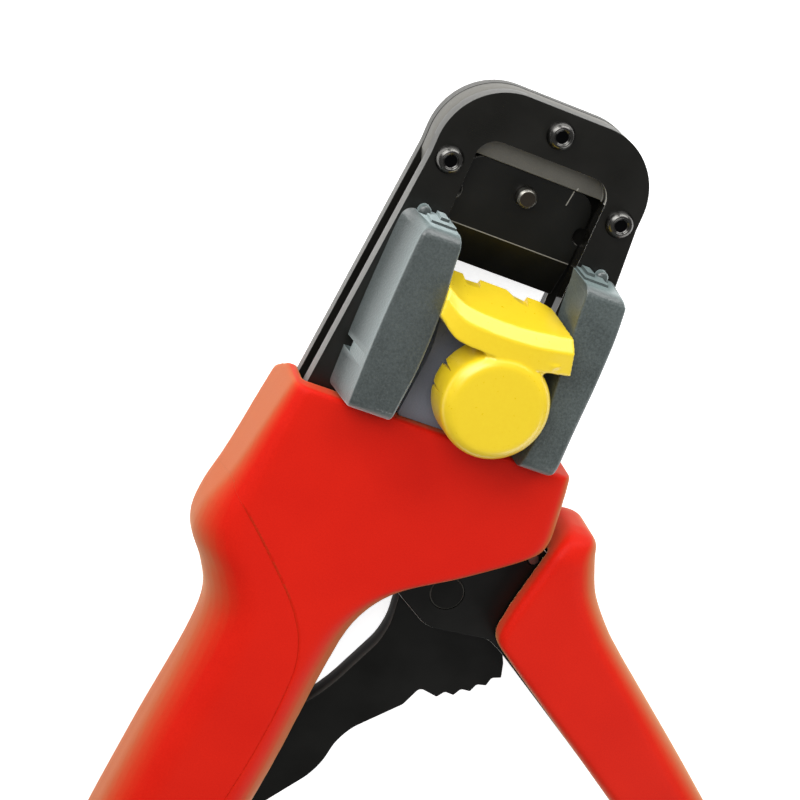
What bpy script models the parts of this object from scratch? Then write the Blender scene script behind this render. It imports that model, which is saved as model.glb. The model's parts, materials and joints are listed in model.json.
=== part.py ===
# Ratcheting crimp tool: two side plates, a toggle with a toothed link and pawl, a pair of dies,
# moulded handle covers and a clip-on locator with a rocking contact clamp.
#
# All sizes are in millimetres until a mesh is made. X runs across the tool, Y towards its head and
# Z out of its front. Z 0 is the front face of the front plate, Y 0 the line of the two side rivets.
# The tool is modelled with its handles open, lying on its back.

import math

import bmesh
import bpy
from mathutils import Matrix, Vector

UNIT = 0.001  # metres in a millimetre
PLAY = 0.3  # gap left between pieces that touch
RUN = 0.5  # gap left beside a face that slides

# The width of the dies sets the window, and the window sets the head
DIE_HALF = 12.75
DIE_SIDE = 1.35
SIDE_RIM = 8.1
WINDOW_HALF = DIE_HALF + DIE_SIDE
HEAD_HALF = WINDOW_HALF + SIDE_RIM

# Side plates
HEAD_TOP = 16.6
HEAD_CORNER = 13.5
SIDE_FLARE = 0.09  # widening of each side for every millimetre below the rivet line
FRONT_PLATE = 3.4
REAR_PLATE = 2.5
PLATE_SPACING = 5.1
WINDOW_TOP = HEAD_TOP - 10.0
WINDOW_CORNER = 4.2
REAR_WINDOW_TOP = -6.0
RIGHT_LEG_END = -56.0
TANG_WIDTH = 15.0

# Rivets of the head
SIDE_RIVET = HEAD_HALF - 3.8
TOP_RIVET = HEAD_TOP - 4.7
RIVET_SHANK = 2.0
RIVET_HEAD = 2.8
RIVET_RISE = 1.5

# Dies
DIE_TOP = 1.8
DIE_SHOULDER = -11.9  # where the front face starts to slope back
DIE_NOSE = -19.3
DIE_FRONT = -4.4
DIE_NOSE_FRONT = -6.8
DIE_BACK = -10.6
RAM_TRAVEL = 13.0
DIE_OPENING = RAM_TRAVEL + PLAY
DIE_BODY = 9.4  # height of the lower die
DIE_PIN = 2.0
DIE_PIN_Y = -2.3
DIE_SCREW = 1.5
DIE_SCREW_HEAD = 2.7
DIE_LAP = 5.6  # height over which the lower die and the ram's tongue lie on each other
NOTCH_Y = -5.5
NOTCH_RADIUS = 1.8
NEST_FRONT = -8.3  # the nests of the upper die stop behind its front lip
NESTS = ((-7.5, 1.7), (-1.5, 1.35), (4.0, 1.05), (8.6, 0.8))  # place and radius of each crimp nest

# Pins and spacers that hold the plates apart
FRAME_PIN = Vector((HEAD_HALF - 1.7, -42.0))
FRAME_BLOCK_INNER = WINDOW_HALF + 2.9
FRAME_BLOCK_OUTER = HEAD_HALF + 1.8
FRAME_BLOCK_TOP = -34.0
FRAME_BLOCK_END = -48.0
LEVER_SPACERS = {"top": (46.3, -80.2), "end": (84.0, -116.5)}
LEVER_SPACER_SHANK = 1.5
LEVER_SPACER = 2.4

# Ram
RAM_FRONT = -1.0
RAM_BACK = -10.4
RAM_FLANGE = 2.8  # how far its flanges reach between the plates
RAM_STEM = 7.5

# Linkage, in the open position
KNEE = Vector((18.1, -83.6))
LEVER_LENGTH = 26.0
LINK_PIVOT = Vector((-15.0, -158.0))
RAM_PIVOT = Vector((0.0, KNEE.y + math.sqrt(LEVER_LENGTH**2 - KNEE.x**2)))
KNEE_PIN = 3.6
RAM_PIN = 3.0
LINK_PIN = 3.0
RAM_SLOT_RISE = 2.9  # how far the ram pin may rise in its slot as the toggle straightens
RAM_SLOT_SIDE = 0.9
LEVER_BOSS = 6.5
LINK_BOSS = 7.0

# Ratchet
TOOTH_TIP = 25.5
TOOTH_ROOT = 24.45
TOOTH_PITCH = 8.05
FIRST_TOOTH = -69.6
TEETH = 5
PAWL_REACH = TOOTH_TIP + 0.5
PAWL_LENGTH = 7.2
PAWL_TIP_ANGLE = -15.5
PAWL_PIVOT_REACH = PAWL_REACH + PAWL_LENGTH
PAWL_PIVOT_ANGLE = -13.0
PAWL_PIN = 1.5
PAWL_TAIL = 1.4
PAWL_SPRING_END = Vector((63.0, -99.5))
PAWL_SPRING_PIN = 1.2
PAWL_WIRE = 0.45

# Return spring
SPRING_FRAME = Vector((19.5, -52.0))
SPRING_LEVER = Vector((32.2, -70.9))
SPRING_PIN = 1.3
SPRING_WIRE = 0.6
SPRING_COIL = 1.5

# Moulded covers
COVER_HALF = 11.0
COVER_MIDDLE = -5.5
COVER_TOP = -50.5
RIM_BREAK = -7.0  # behind this level the top rim falls away to the back
RIM_FALL = 1.0

# Locator
LOCATOR_RISE = 12.0
BASE_RISE = 3.2
NOTCH_LOW = -41.2  # lower side of the notch in the outer face of the left cheek
CLAMP_PIVOT_Y = -31.5
CLAMP_PIVOT_Z = 5.1
CLAMP_PIN = 1.2
EAR_RADIUS = 1.8
EAR_HALF = 1.4
EAR_REACH = 5.2  # from the middle of the pin to the middle of each ear
KNOB_CENTRE = Vector((5.2, -38.8))
KNOB_RADIUS = 11.2
KNOB_BOTTOM = 7.4
KNOB_TOP = 17.5
KNOB_RIM = 1.8
KNOB_SLOTS = (163.0, 188.0)
HEAD_EDGE = -19.2  # notched edge of the clamp head
HEAD_NOTCHES = ((-5.6, 1.7), (4.0, 2.4))
HEAD_SECTIONS = [  # each from the lower edge over the crease and the front face to the keel
    [(-9.6, -20.0, 3.0), (-12.3, -20.8, 14.6), (-12.0, -25.4, 15.4), (-10.5, -27.5, 9.0), (-9.6, -24.5, 3.0)],
    [(-7, HEAD_EDGE, 3), (-8.3, -23, 16), (-8, -28.6, 16.2), (-7, -29, 9), (-7, -25, 3)],
    [(-2, HEAD_EDGE, 3), (-3, -23.8, 16.6), (-3, -29.2, 16.6), (-2, -29.2, 9), (-2, -25, 3)],
    [(4, HEAD_EDGE, 3), (4, -23.8, 16.8), (4, -29.2, 16.8), (4, -29.2, 9), (4, -25, 3)],
    [(9, HEAD_EDGE, 3), (10.5, -22.8, 16.6), (10.5, -29, 16.6), (9, -29.2, 9), (9, -25, 3)],
    [(12.2, -19.8, 3.0), (14.9, -21.6, 15.8), (16.6, -28.2, 15.8), (13.4, -28.6, 9.0), (12.0, -25.0, 3.0)],
]
CLAMP_COIL = 2.4
CLAMP_WIRE = 0.6
STUD = Vector((HEAD_HALF - 3.0, -10.8))
STUD_RADIUS = 1.25
STUD_RISE = 2.1
STUD_SHANK = 0.8

# Levels worked out from the plates
REAR_FACE = -(FRONT_PLATE + PLATE_SPACING)
BACK = REAR_FACE - REAR_PLATE
MIDDLE_HIGH = -FRONT_PLATE - PLAY
MIDDLE_LOW = REAR_FACE + PLAY
MIDDLE = (MIDDLE_HIGH + MIDDLE_LOW) / 2
FULL_CIRCLE = 2 * math.pi
CUT = 20.0  # reach of a cutter beyond the middle of the head


def clear_scene():
    for item in list(bpy.data.objects):
        bpy.data.objects.remove(item, do_unlink=True)


def material(name, colour, roughness, metallic=0.0):
    made = bpy.data.materials.new(name)
    made.use_nodes = True
    shader = made.node_tree.nodes["Principled BSDF"]
    shader.inputs["Base Color"].default_value = (*colour, 1.0)
    shader.inputs["Roughness"].default_value = roughness
    shader.inputs["Metallic"].default_value = metallic
    return made


def empty(name, x, y, z, parent):
    made = bpy.data.objects.new(name, None)
    bpy.context.scene.collection.objects.link(made)
    made.location = Vector((x, y, z)) * UNIT
    made["place"] = (x, y, z)
    if parent is not None:
        made.parent = parent
        made.location -= Vector(parent["place"]) * UNIT
    return made


def finish(name, mesh, finish_material, parent, sharp=35.0):
    """Turn a bmesh in millimetres into an object whose origin is on its parent."""
    place = Vector(parent["place"])
    bmesh.ops.remove_doubles(mesh, verts=mesh.verts[:], dist=0.001)
    bmesh.ops.recalc_face_normals(mesh, faces=mesh.faces[:])
    mesh.transform(Matrix.Scale(UNIT, 4) @ Matrix.Translation(-place))
    data = bpy.data.meshes.new(name)
    mesh.to_mesh(data)
    mesh.free()
    data.shade_smooth()
    data.set_sharp_from_angle(angle=math.radians(sharp))
    data.materials.append(finish_material)
    made = bpy.data.objects.new(name, data)
    bpy.context.scene.collection.objects.link(made)
    made.parent = parent
    return made


def arc(centre, radius, start, end, steps):
    """Points on an arc, with its angles in degrees."""
    angles = [math.radians(start + (end - start) * step / steps) for step in range(steps + 1)]
    return [(centre[0] + radius * math.cos(a), centre[1] + radius * math.sin(a)) for a in angles]


def circle(centre, radius, steps=24):
    return arc(centre, radius, 0.0, 360.0, steps)[:-1]


def polar(centre, radius, angle):
    turn = math.radians(angle)
    return (centre[0] + radius * math.cos(turn), centre[1] + radius * math.sin(turn))


def rounded(corners, step=18.0):
    """Outline through corners given as (x, y, radius)."""
    points = []
    count = len(corners)
    for index, (x, y, radius) in enumerate(corners):
        corner = Vector((x, y))
        before = (Vector(corners[index - 1][:2]) - corner).normalized()
        after = (Vector(corners[(index + 1) % count][:2]) - corner).normalized()
        opening = before.angle(after)
        if radius <= 0 or opening > math.pi - 0.01:
            points.append((x, y))
            continue
        centre = corner + (before + after).normalized() * (radius / math.sin(opening / 2))
        reach = radius / math.tan(opening / 2)
        first = corner + before * reach - centre
        last = corner + after * reach - centre
        start = math.atan2(first.y, first.x)
        sweep = (math.atan2(last.y, last.x) - start + math.pi) % FULL_CIRCLE - math.pi
        steps = max(1, math.ceil(abs(sweep) / math.radians(step)))
        points += arc(centre, radius, math.degrees(start), math.degrees(start + sweep), steps)
    return points


def smooth(stations, steps):
    """Catmull-Rom curve through rows of numbers, with the first and last rows kept.

    Only the first four numbers of a row are places. The rest are sizes, which change evenly.
    """
    rows = [Vector(row) for row in stations]
    rows = [2 * rows[0] - rows[1], *rows, 2 * rows[-1] - rows[-2]]
    curve = []
    for a, b, c, d in zip(rows, rows[1:], rows[2:], rows[3:]):
        for step in range(steps):
            t = step / steps
            point = 0.5 * (2 * b + (c - a) * t + (2 * a - 5 * b + 4 * c - d) * t**2
                           + (3 * b - a - 3 * c + d) * t**3)
            even = b.lerp(c, t)
            curve.append(Vector((*point[:4], *even[4:])))
    curve.append(rows[-2])
    return curve


def flat_mesh(outline, low, high, holes=()):
    """A flat piece between two heights, with any holes through it."""
    mesh = bmesh.new()
    edges = []
    for loop in (outline, *holes):
        verts = [mesh.verts.new((x, y, low)) for x, y in loop]
        edges += [mesh.edges.new((verts[index - 1], verts[index])) for index in range(len(verts))]
    bmesh.ops.triangle_fill(mesh, use_beauty=True, edges=edges)
    raised = bmesh.ops.extrude_face_region(mesh, geom=mesh.faces[:])["geom"]
    top = [item for item in raised if isinstance(item, bmesh.types.BMVert)]
    bmesh.ops.translate(mesh, vec=(0, 0, high - low), verts=top)
    return mesh


def flat_piece(name, outline, low, high, finish_material, parent, holes=()):
    return finish(name, flat_mesh(outline, low, high, holes), finish_material, parent)


def turned_piece(name, profile, centre, finish_material, parent, steps=24, along_x=False):
    """A turned piece from (radius, height) points, with its axis along Z or along X."""
    mesh = bmesh.new()
    verts = [mesh.verts.new((radius, 0, height)) for radius, height in profile]
    edges = [mesh.edges.new(pair) for pair in zip(verts, verts[1:])]
    bmesh.ops.spin(mesh, geom=verts + edges, axis=(0, 0, 1), cent=(0, 0, 0), steps=steps,
                   angle=FULL_CIRCLE, use_merge=True)
    if along_x:
        mesh.transform(Matrix.Rotation(math.pi / 2, 4, "Y"))
    mesh.transform(Matrix.Translation(Vector(centre)))
    return finish(name, mesh, finish_material, parent)


def pin_piece(name, centre, radius, low, high, finish_material, parent, steps=20, chamfer=0.25):
    profile = [(0, low), (radius - chamfer, low), (radius, low + chamfer),
               (radius, high - chamfer), (radius - chamfer, high), (0, high)]
    return turned_piece(name, profile, (*centre, 0), finish_material, parent, steps)


def lofted_mesh(rings):
    """A closed skin through rings with the same number of points."""
    mesh = bmesh.new()
    loops = [[mesh.verts.new(point) for point in ring] for ring in rings]
    for lower, upper in zip(loops, loops[1:]):
        for index in range(len(lower)):
            mesh.faces.new((lower[index - 1], lower[index], upper[index], upper[index - 1]))
    mesh.faces.new(loops[0])
    mesh.faces.new(loops[-1])
    return mesh


def box_mesh(low, high):
    mesh = bmesh.new()
    size = Vector(high) - Vector(low)
    bmesh.ops.create_cube(mesh, size=1.0)
    mesh.transform(Matrix.Translation((Vector(high) + Vector(low)) / 2) @ Matrix.Diagonal((*size, 1)))
    return mesh


def helper(name, mesh, parent):
    """A shape that only cuts or joins another."""
    made = finish(name, mesh, bpy.data.materials["steel"], parent)
    made.hide_render = True
    made.display_type = "WIRE"
    return made


def combine(target, other, operation):
    modifier = target.modifiers.new(other.name, "BOOLEAN")
    modifier.operation = operation
    modifier.object = other


def soften(target, width, segments=2, angle=50.0):
    modifier = target.modifiers.new("edge", "BEVEL")
    modifier.width = width * UNIT
    modifier.segments = segments
    modifier.limit_method = "ANGLE"
    modifier.angle_limit = math.radians(angle)
    modifier.use_clamp_overlap = True
    return modifier


def wire_piece(name, points, wire, finish_material, parent, sides=1):
    """A bent wire along points in millimetres."""
    place = Vector(parent["place"])
    data = bpy.data.curves.new(name, "CURVE")
    data.dimensions = "3D"
    data.bevel_depth = wire / 2 * UNIT
    data.bevel_resolution = sides
    data.use_fill_caps = True
    spline = data.splines.new("POLY")
    spline.points.add(len(points) - 1)
    for target, point in zip(spline.points, points):
        target.co = (*((Vector(point) - place) * UNIT), 1.0)
    data.materials.append(finish_material)
    made = bpy.data.objects.new(name, data)
    bpy.context.scene.collection.objects.link(made)
    made.parent = parent
    return made


def coil(start, end, radius, turns, steps=10):
    """Points of a coil wound round the line from start to end."""
    start = Vector(start)
    end = Vector(end)
    along = (end - start).normalized()
    side = Vector((0, 0, 1)).cross(along)
    if side.length < 0.1:
        side = Vector((1, 0, 0))
    side.normalize()
    up = along.cross(side)
    points = []
    total = int(turns * steps)
    for step in range(total + 1):
        turn = FULL_CIRCLE * step / steps
        centre = start.lerp(end, step / total)
        points.append(centre + radius * (side * math.cos(turn) + up * math.sin(turn)))
    return points


def side(y):
    """Half width of the plates at a height below the rivet line."""
    return HEAD_HALF - SIDE_FLARE * y


def plate_outline(window_top):
    tang_left = LINK_PIVOT.x - TANG_WIDTH / 2
    tang_right = LINK_PIVOT.x + TANG_WIDTH / 2
    tang_end = LINK_PIVOT.y - LINK_BOSS
    return rounded([
        (WINDOW_HALF, RIGHT_LEG_END, 1.5),
        (side(RIGHT_LEG_END), RIGHT_LEG_END, 3.0),
        (HEAD_HALF, 0.0, 0.0),
        (HEAD_HALF, HEAD_TOP, HEAD_CORNER),
        (-HEAD_HALF, HEAD_TOP, HEAD_CORNER),
        (-HEAD_HALF, 0.0, 0.0),
        (-side(RIGHT_LEG_END), RIGHT_LEG_END, 20.0),
        (-26.0, -90.0, 15.0),
        (tang_left, -104.0, 15.0),
        (tang_left, tang_end, LINK_BOSS - 0.5),
        (tang_right, tang_end, LINK_BOSS - 0.5),
        (tang_right, -104.0, 6.0),
        (-WINDOW_HALF, -92.0, 6.0),
        (-WINDOW_HALF, window_top, WINDOW_CORNER),
        (WINDOW_HALF, window_top, WINDOW_CORNER),
    ])


def frame_holes():
    rivets = [(-SIDE_RIVET, 0.0), (SIDE_RIVET, 0.0), (0.0, TOP_RIVET)]
    holes = [circle(place, RIVET_SHANK + PLAY, 16) for place in rivets]
    holes += [circle((sign * FRAME_PIN.x, FRAME_PIN.y), SPRING_PIN + PLAY, 12) for sign in (-1, 1)]
    holes.append(circle(SPRING_FRAME, SPRING_PIN + PLAY, 12))
    holes.append(circle(LINK_PIVOT, LINK_PIN + PLAY, 20))
    return holes


def make_frame(root, black, steel):
    stud_holes = [circle((sign * STUD.x, STUD.y), STUD_SHANK + PLAY, 12) for sign in (-1, 1)]
    holes = frame_holes()
    flat_piece("frame_plate_front", plate_outline(WINDOW_TOP), -FRONT_PLATE, 0.0, black, root,
               holes + stud_holes)
    die_pin_hole = circle((0, DIE_PIN_Y), DIE_PIN + PLAY, 16)
    flat_piece("frame_plate_rear", plate_outline(REAR_WINDOW_TOP), BACK, REAR_FACE, black, root,
               holes + [die_pin_hole])

    inner = DIE_HALF + PLAY
    shoulder = inner + 4.5
    opening_top = DIE_TOP + PLAY
    foot = -4.5
    spacer = rounded([
        (HEAD_HALF, -1.0, 0.5), (HEAD_HALF, HEAD_TOP, HEAD_CORNER),
        (-HEAD_HALF, HEAD_TOP, HEAD_CORNER), (-HEAD_HALF, -1.0, 0.5),
        (-shoulder, foot, 0.5), (-inner, foot, 0.5),
        (-inner, opening_top, 3.2), (inner, opening_top, 3.2),
        (inner, foot, 0.5), (shoulder, foot, 0.5),
    ])
    flat_piece("head_spacer", spacer, MIDDLE_LOW, MIDDLE_HIGH, black, root, holes[:3])

    profile = rivet_profile()
    places = {"left": (-SIDE_RIVET, 0.0), "right": (SIDE_RIVET, 0.0), "top": (0.0, TOP_RIVET)}
    for name, place in places.items():
        turned_piece("head_rivet_" + name, profile, (*place, 0), black, root, 16)

    for name, sign in (("left", -1), ("right", 1)):
        block = rounded([(sign * FRAME_BLOCK_INNER, FRAME_BLOCK_TOP, 1),
                         (sign * FRAME_BLOCK_OUTER, FRAME_BLOCK_TOP, 2),
                         (sign * (FRAME_BLOCK_OUTER + 0.6), FRAME_BLOCK_END, 2),
                         (sign * FRAME_BLOCK_INNER, FRAME_BLOCK_END, 1)])
        pin = (sign * FRAME_PIN.x, FRAME_PIN.y)
        hole = circle(pin, SPRING_PIN + PLAY, 12)
        flat_piece("frame_spacer_" + name, block, MIDDLE_LOW, MIDDLE_HIGH, black, root, [hole])
        pin_piece("frame_pin_" + name, pin, SPRING_PIN, BACK, 0.0, steel, root, 12)
        stud = [(0, -FRONT_PLATE), (STUD_SHANK, -FRONT_PLATE), (STUD_SHANK, PLAY), (STUD_RADIUS, PLAY),
                (STUD_RADIUS, STUD_RISE - 0.5), (STUD_RADIUS - 0.4, STUD_RISE), (0, STUD_RISE)]
        turned_piece("locator_stud_" + name, stud, (sign * STUD.x, STUD.y, 0), steel, root, 16)
    pin_piece("link_pin", LINK_PIVOT, LINK_PIN, BACK, 0.0, steel, root)
    pin_piece("spring_pin_frame", SPRING_FRAME, SPRING_PIN, BACK, 0.0, steel, root, 12)


def rivet_profile():
    """Shank with a domed head and a flat recess on both sides."""
    recess = 1.5
    front = [(recess, PLAY + RIVET_RISE - 0.5), (recess + 0.2, PLAY + RIVET_RISE),
             (2.3, PLAY + RIVET_RISE * 0.75), (RIVET_HEAD, PLAY + RIVET_RISE * 0.3),
             (RIVET_HEAD, PLAY), (RIVET_SHANK, PLAY)]
    back = [(radius, BACK - height) for radius, height in reversed(front)]
    return [(0, front[0][1]), *front, *back, (0, back[-1][1])]


def die_mesh(top, bottom, corner):
    """Plain block of a die, as thick as the ram."""
    outline = rounded([(DIE_HALF, bottom, 0.4), (DIE_HALF, top, corner),
                       (-DIE_HALF, top, corner), (-DIE_HALF, bottom, 0.4)])
    return flat_mesh(outline, DIE_BACK, DIE_FRONT)


def slope_cutter(shoulder, nose, direction):
    """Wedge that slopes the front of a die back towards its nose."""
    past = nose + direction * 5.0
    depth = DIE_FRONT - DIE_NOSE_FRONT
    drop = DIE_FRONT - depth * (past - shoulder) / (nose - shoulder)
    above = DIE_FRONT + 3.0
    section = [(shoulder, DIE_FRONT), (shoulder, above), (past, above), (past, drop)]
    return lofted_mesh([[(x, y, z) for y, z in section] for x in (-CUT, CUT)])


def make_dies(root, ram, black, steel):
    upper = finish("upper_die", die_mesh(DIE_TOP, DIE_NOSE, 3.0), black, root)
    combine(upper, helper("upper_slope", slope_cutter(DIE_SHOULDER, DIE_NOSE, -1), root), "DIFFERENCE")
    step = box_mesh((-CUT, REAR_WINDOW_TOP - PLAY, BACK - 1), (CUT, DIE_TOP + 5, MIDDLE_LOW))
    combine(upper, helper("upper_step", step, root), "DIFFERENCE")
    hole = flat_mesh(circle((0, DIE_PIN_Y), DIE_PIN + PLAY, 16), BACK - 1, 1)
    combine(upper, helper("upper_hole", hole, root), "DIFFERENCE")
    notches = []
    for sign in (-1, 1):
        notch = flat_mesh(circle((sign * DIE_HALF, NOTCH_Y), NOTCH_RADIUS, 12), BACK - 1, 1)
        notches.append(helper("upper_notch", notch, root))
    for x, radius in NESTS:
        nest = flat_mesh(circle((x, DIE_NOSE), radius, 12), BACK - 2, NEST_FRONT)
        notches.append(helper("upper_nest", nest, root))
    for notch in notches:
        combine(upper, notch, "DIFFERENCE")
    pin_piece("upper_die_pin", (0, DIE_PIN_Y), DIE_PIN, BACK, DIE_FRONT + 2.2, steel, root, 20, 0.5)

    nose = DIE_NOSE - DIE_OPENING
    bottom = nose - DIE_BODY
    lower = finish("lower_die", die_mesh(nose, bottom, 0.4), black, ram)
    combine(lower, helper("lower_slope", slope_cutter(nose - 3.5, nose, 1), ram), "DIFFERENCE")
    lap = DIE_BACK + 2.0
    tongue = box_mesh((-CUT, bottom - 1, BACK - 1), (CUT, bottom + DIE_LAP, lap))
    combine(lower, helper("lower_step", tongue, ram), "DIFFERENCE")
    screw_y = bottom + DIE_LAP / 2
    hole = flat_mesh(circle((0, screw_y), DIE_SCREW + PLAY, 12), BACK - 1, 1)
    combine(lower, helper("lower_hole", hole, ram), "DIFFERENCE")
    for x, radius in NESTS:
        nest = flat_mesh(circle((x, nose + radius * 0.5), radius, 12), BACK - 2, 0)
        combine(lower, helper("lower_nest", nest, ram), "DIFFERENCE")
    under = DIE_FRONT + PLAY
    screw = [(0, DIE_BACK + PLAY), (DIE_SCREW, DIE_BACK + PLAY), (DIE_SCREW, under),
             (DIE_SCREW_HEAD, under), (DIE_SCREW_HEAD, under + 1.2), (DIE_SCREW_HEAD - 0.4, under + 1.6),
             (0, under + 1.6)]
    turned_piece("lower_die_screw", screw, (0, screw_y, 0), steel, ram, 16)
    make_ram(ram, black, bottom - PLAY, lap - PLAY, screw_y)


def make_ram(ram, black, top, lap, screw_y):
    """Block that slides between the plate edges, with a flange between the plates and a pin eye."""
    block = WINDOW_HALF - RUN
    flange = block + RAM_FLANGE
    low = RAM_PIVOT.y + LEVER_BOSS + RAM_SLOT_RISE
    section = [(block, RAM_FRONT), (-block, RAM_FRONT), (-block, MIDDLE_HIGH), (-flange, MIDDLE_HIGH),
               (-flange, MIDDLE_LOW), (-block, MIDDLE_LOW), (-block, RAM_BACK), (block, RAM_BACK),
               (block, MIDDLE_LOW), (flange, MIDDLE_LOW), (flange, MIDDLE_HIGH), (block, MIDDLE_HIGH)]
    body = finish("ram", lofted_mesh([[(x, y, z) for x, z in section] for y in (low, top)]), black, ram)
    tongue = box_mesh((1 - DIE_HALF, top - 4, RAM_BACK), (DIE_HALF - 1, top + DIE_LAP, lap))
    combine(body, helper("ram_tongue", tongue, ram), "UNION")
    stem = rounded([(-RAM_STEM, top - 6, 0), (-RAM_STEM, RAM_PIVOT.y - RAM_STEM, RAM_STEM - 0.5),
                    (RAM_STEM, RAM_PIVOT.y - RAM_STEM, RAM_STEM - 0.5), (RAM_STEM, top - 6, 0)])
    combine(body, helper("ram_stem", flat_mesh(stem, MIDDLE_LOW, MIDDLE_HIGH), ram), "UNION")
    slot_half = RAM_PIN + RAM_SLOT_SIDE
    slot_end = slot_half - 0.1
    slot = rounded([(-slot_half, RAM_PIVOT.y - RAM_PIN - PLAY, slot_end),
                    (slot_half, RAM_PIVOT.y - RAM_PIN - PLAY, slot_end),
                    (slot_half, RAM_PIVOT.y + RAM_PIN + RAM_SLOT_RISE, slot_end),
                    (-slot_half, RAM_PIVOT.y + RAM_PIN + RAM_SLOT_RISE, slot_end)])
    combine(body, helper("ram_slot", flat_mesh(slot, BACK, 0), ram), "DIFFERENCE")
    hole = flat_mesh(circle((0, screw_y), DIE_SCREW + PLAY, 12), BACK, lap + 1)
    combine(body, helper("ram_screw_hole", hole, ram), "DIFFERENCE")


def lever_outline():
    """Lever plate from the ram pin past the knee to its long tang inside the handle cover."""
    return rounded([
        (-LEVER_BOSS, RAM_PIVOT.y + LEVER_BOSS, LEVER_BOSS - 0.2),
        (5.5, RAM_PIVOT.y + LEVER_BOSS, 5.0),
        (31.5, -66.6, 3.0),
        (35.9, -63.4, 1.0),
        (39.4, -66.8, 2.0),
        (45.2, -75.6, 6.0),
        (55.9, -86.0, 6.0),
        (92.0, -114.4, 3.0),
        (86.2, -126.4, 3.0),
        (34.0, -92.2, 2.0),
        (30.6, -90.5, 3.0),
        (17.0, -92.0, 6.5),
        (2.0, -83.0, 8.0),
        (-8.0, -71.0, 5.0),
    ])


def make_levers(handle, black, steel):
    pawl_pivot = polar(KNEE, PAWL_PIVOT_REACH, PAWL_PIVOT_ANGLE)
    holes = [circle(RAM_PIVOT, RAM_PIN + PLAY), circle(KNEE, KNEE_PIN + PLAY),
             circle(pawl_pivot, PAWL_PIN + PLAY, 12), circle(SPRING_LEVER, SPRING_PIN + PLAY, 12),
             circle(PAWL_SPRING_END, PAWL_SPRING_PIN + PLAY, 12)]
    holes += [circle(place, LEVER_SPACER_SHANK + PLAY, 12) for place in LEVER_SPACERS.values()]
    flat_piece("lever_plate_front", lever_outline(), -FRONT_PLATE, 0.0, black, handle, holes)
    flat_piece("lever_plate_rear", lever_outline(), BACK, REAR_FACE, black, handle, holes)
    pin_piece("ram_pin", RAM_PIVOT, RAM_PIN, BACK, 0.0, steel, handle)
    pin_piece("knee_pin", KNEE, KNEE_PIN, BACK, 0.0, black, handle, 28)
    pin_piece("pawl_pin", pawl_pivot, PAWL_PIN, BACK, 0.0, steel, handle, 12)
    pin_piece("spring_pin_lever", SPRING_LEVER, SPRING_PIN, BACK, 0.0, steel, handle, 12)
    shank = LEVER_SPACER_SHANK
    for name, place in LEVER_SPACERS.items():
        shoulder = [(0, BACK), (shank, BACK), (shank, MIDDLE_LOW), (LEVER_SPACER, MIDDLE_LOW),
                    (LEVER_SPACER, MIDDLE_HIGH), (shank, MIDDLE_HIGH), (shank, 0), (0, 0)]
        turned_piece("lever_spacer_" + name, shoulder, (*place, 0), steel, handle, 14)


def link_outline():
    """Toothed link: boss at the knee, ratchet sector, notch and curved arm to its own pivot."""
    teeth = []
    for index in range(TEETH):
        angle = FIRST_TOOTH + index * TOOTH_PITCH
        teeth.append(polar(KNEE, TOOTH_TIP, angle))
        if index < TEETH - 1:
            teeth.append(polar(KNEE, TOOTH_ROOT, angle + TOOTH_PITCH / 2))
    sector_end = polar(KNEE, 22.8, FIRST_TOOTH + TEETH * TOOTH_PITCH - 3)
    end_of_arm = (LINK_PIVOT.x, LINK_PIVOT.y)
    lower = rounded([(*end_of_arm, 0), (-4.5, -150.0, 8.0), (9.6, -131.0, 14.0), (11.0, -121.5, 12.0),
                     (20.9, -111.3, 2.0), (22.8, -106.7, 1.2), (27.0, -107.6, 0)])[1:-1]
    upper = rounded([(37.5, -95.8, 0), (31.5, -85.0, 6.0), (26.5, -75.0, 9.0), (9.0, -75.0, 9.0),
                     (8.6, -89.0, 10.0), (9.6, -96.0, 14.0), (1.8, -112.4, 30.0), (-14.0, -136.0, 30.0),
                     (*end_of_arm, 0)])[1:-1]
    start = math.degrees(math.atan2(upper[-1][1] - LINK_PIVOT.y, upper[-1][0] - LINK_PIVOT.x)) + 55
    boss = arc(LINK_PIVOT, LINK_BOSS, start, start + 190, 12)
    return boss + lower + teeth + [sector_end] + upper


def make_link(link, black):
    holes = [circle(KNEE, KNEE_PIN + PLAY, 28), circle(LINK_PIVOT, LINK_PIN + PLAY)]
    flat_piece("link_arm", link_outline(), MIDDLE_LOW, MIDDLE_HIGH, black, link, holes)


def make_pawl(pawl, handle, steel):
    pivot = Vector(polar(KNEE, PAWL_PIVOT_REACH, PAWL_PIVOT_ANGLE))
    tip = Vector(polar(KNEE, PAWL_REACH, PAWL_TIP_ANGLE))
    nose = (tip - pivot).normalized()
    across = Vector((-nose.y, nose.x))
    tail = pivot - nose * 6.5 + across * 2.0
    corners = [tip + across * 0.2, tip - nose * 2.2 + across * 1.7, pivot + across * 3.4 - nose * 2,
               tail + across * PAWL_TAIL, tail - nose * PAWL_TAIL, tail - across * PAWL_TAIL,
               pivot - across * 3.4, tip - nose * 2.2 - across * 1.7, tip - across * 0.2]
    radii = [0.2, 1.0, 2.5, 1.0, 0.8, 1.0, 3.0, 1.0, 0.2]
    outline = rounded([(point.x, point.y, radius) for point, radius in zip(corners, radii)])
    holes = [circle(pivot, PAWL_PIN + PLAY, 12)]
    flat_piece("pawl", outline, MIDDLE_LOW, MIDDLE_HIGH, steel, pawl, holes)
    along = (PAWL_SPRING_END - tail).normalized()
    start = tail + along * (PAWL_TAIL + PLAY)
    end = PAWL_SPRING_END - along * (PAWL_SPRING_PIN + PLAY)
    path = coil((*start, MIDDLE), (*end, MIDDLE), 1.2, 6, 8)
    wire_piece("pawl_spring", path, PAWL_WIRE, steel, handle, 0)
    pin_piece("pawl_spring_pin", PAWL_SPRING_END, PAWL_SPRING_PIN, BACK, 0.0, steel, handle, 12)


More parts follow.
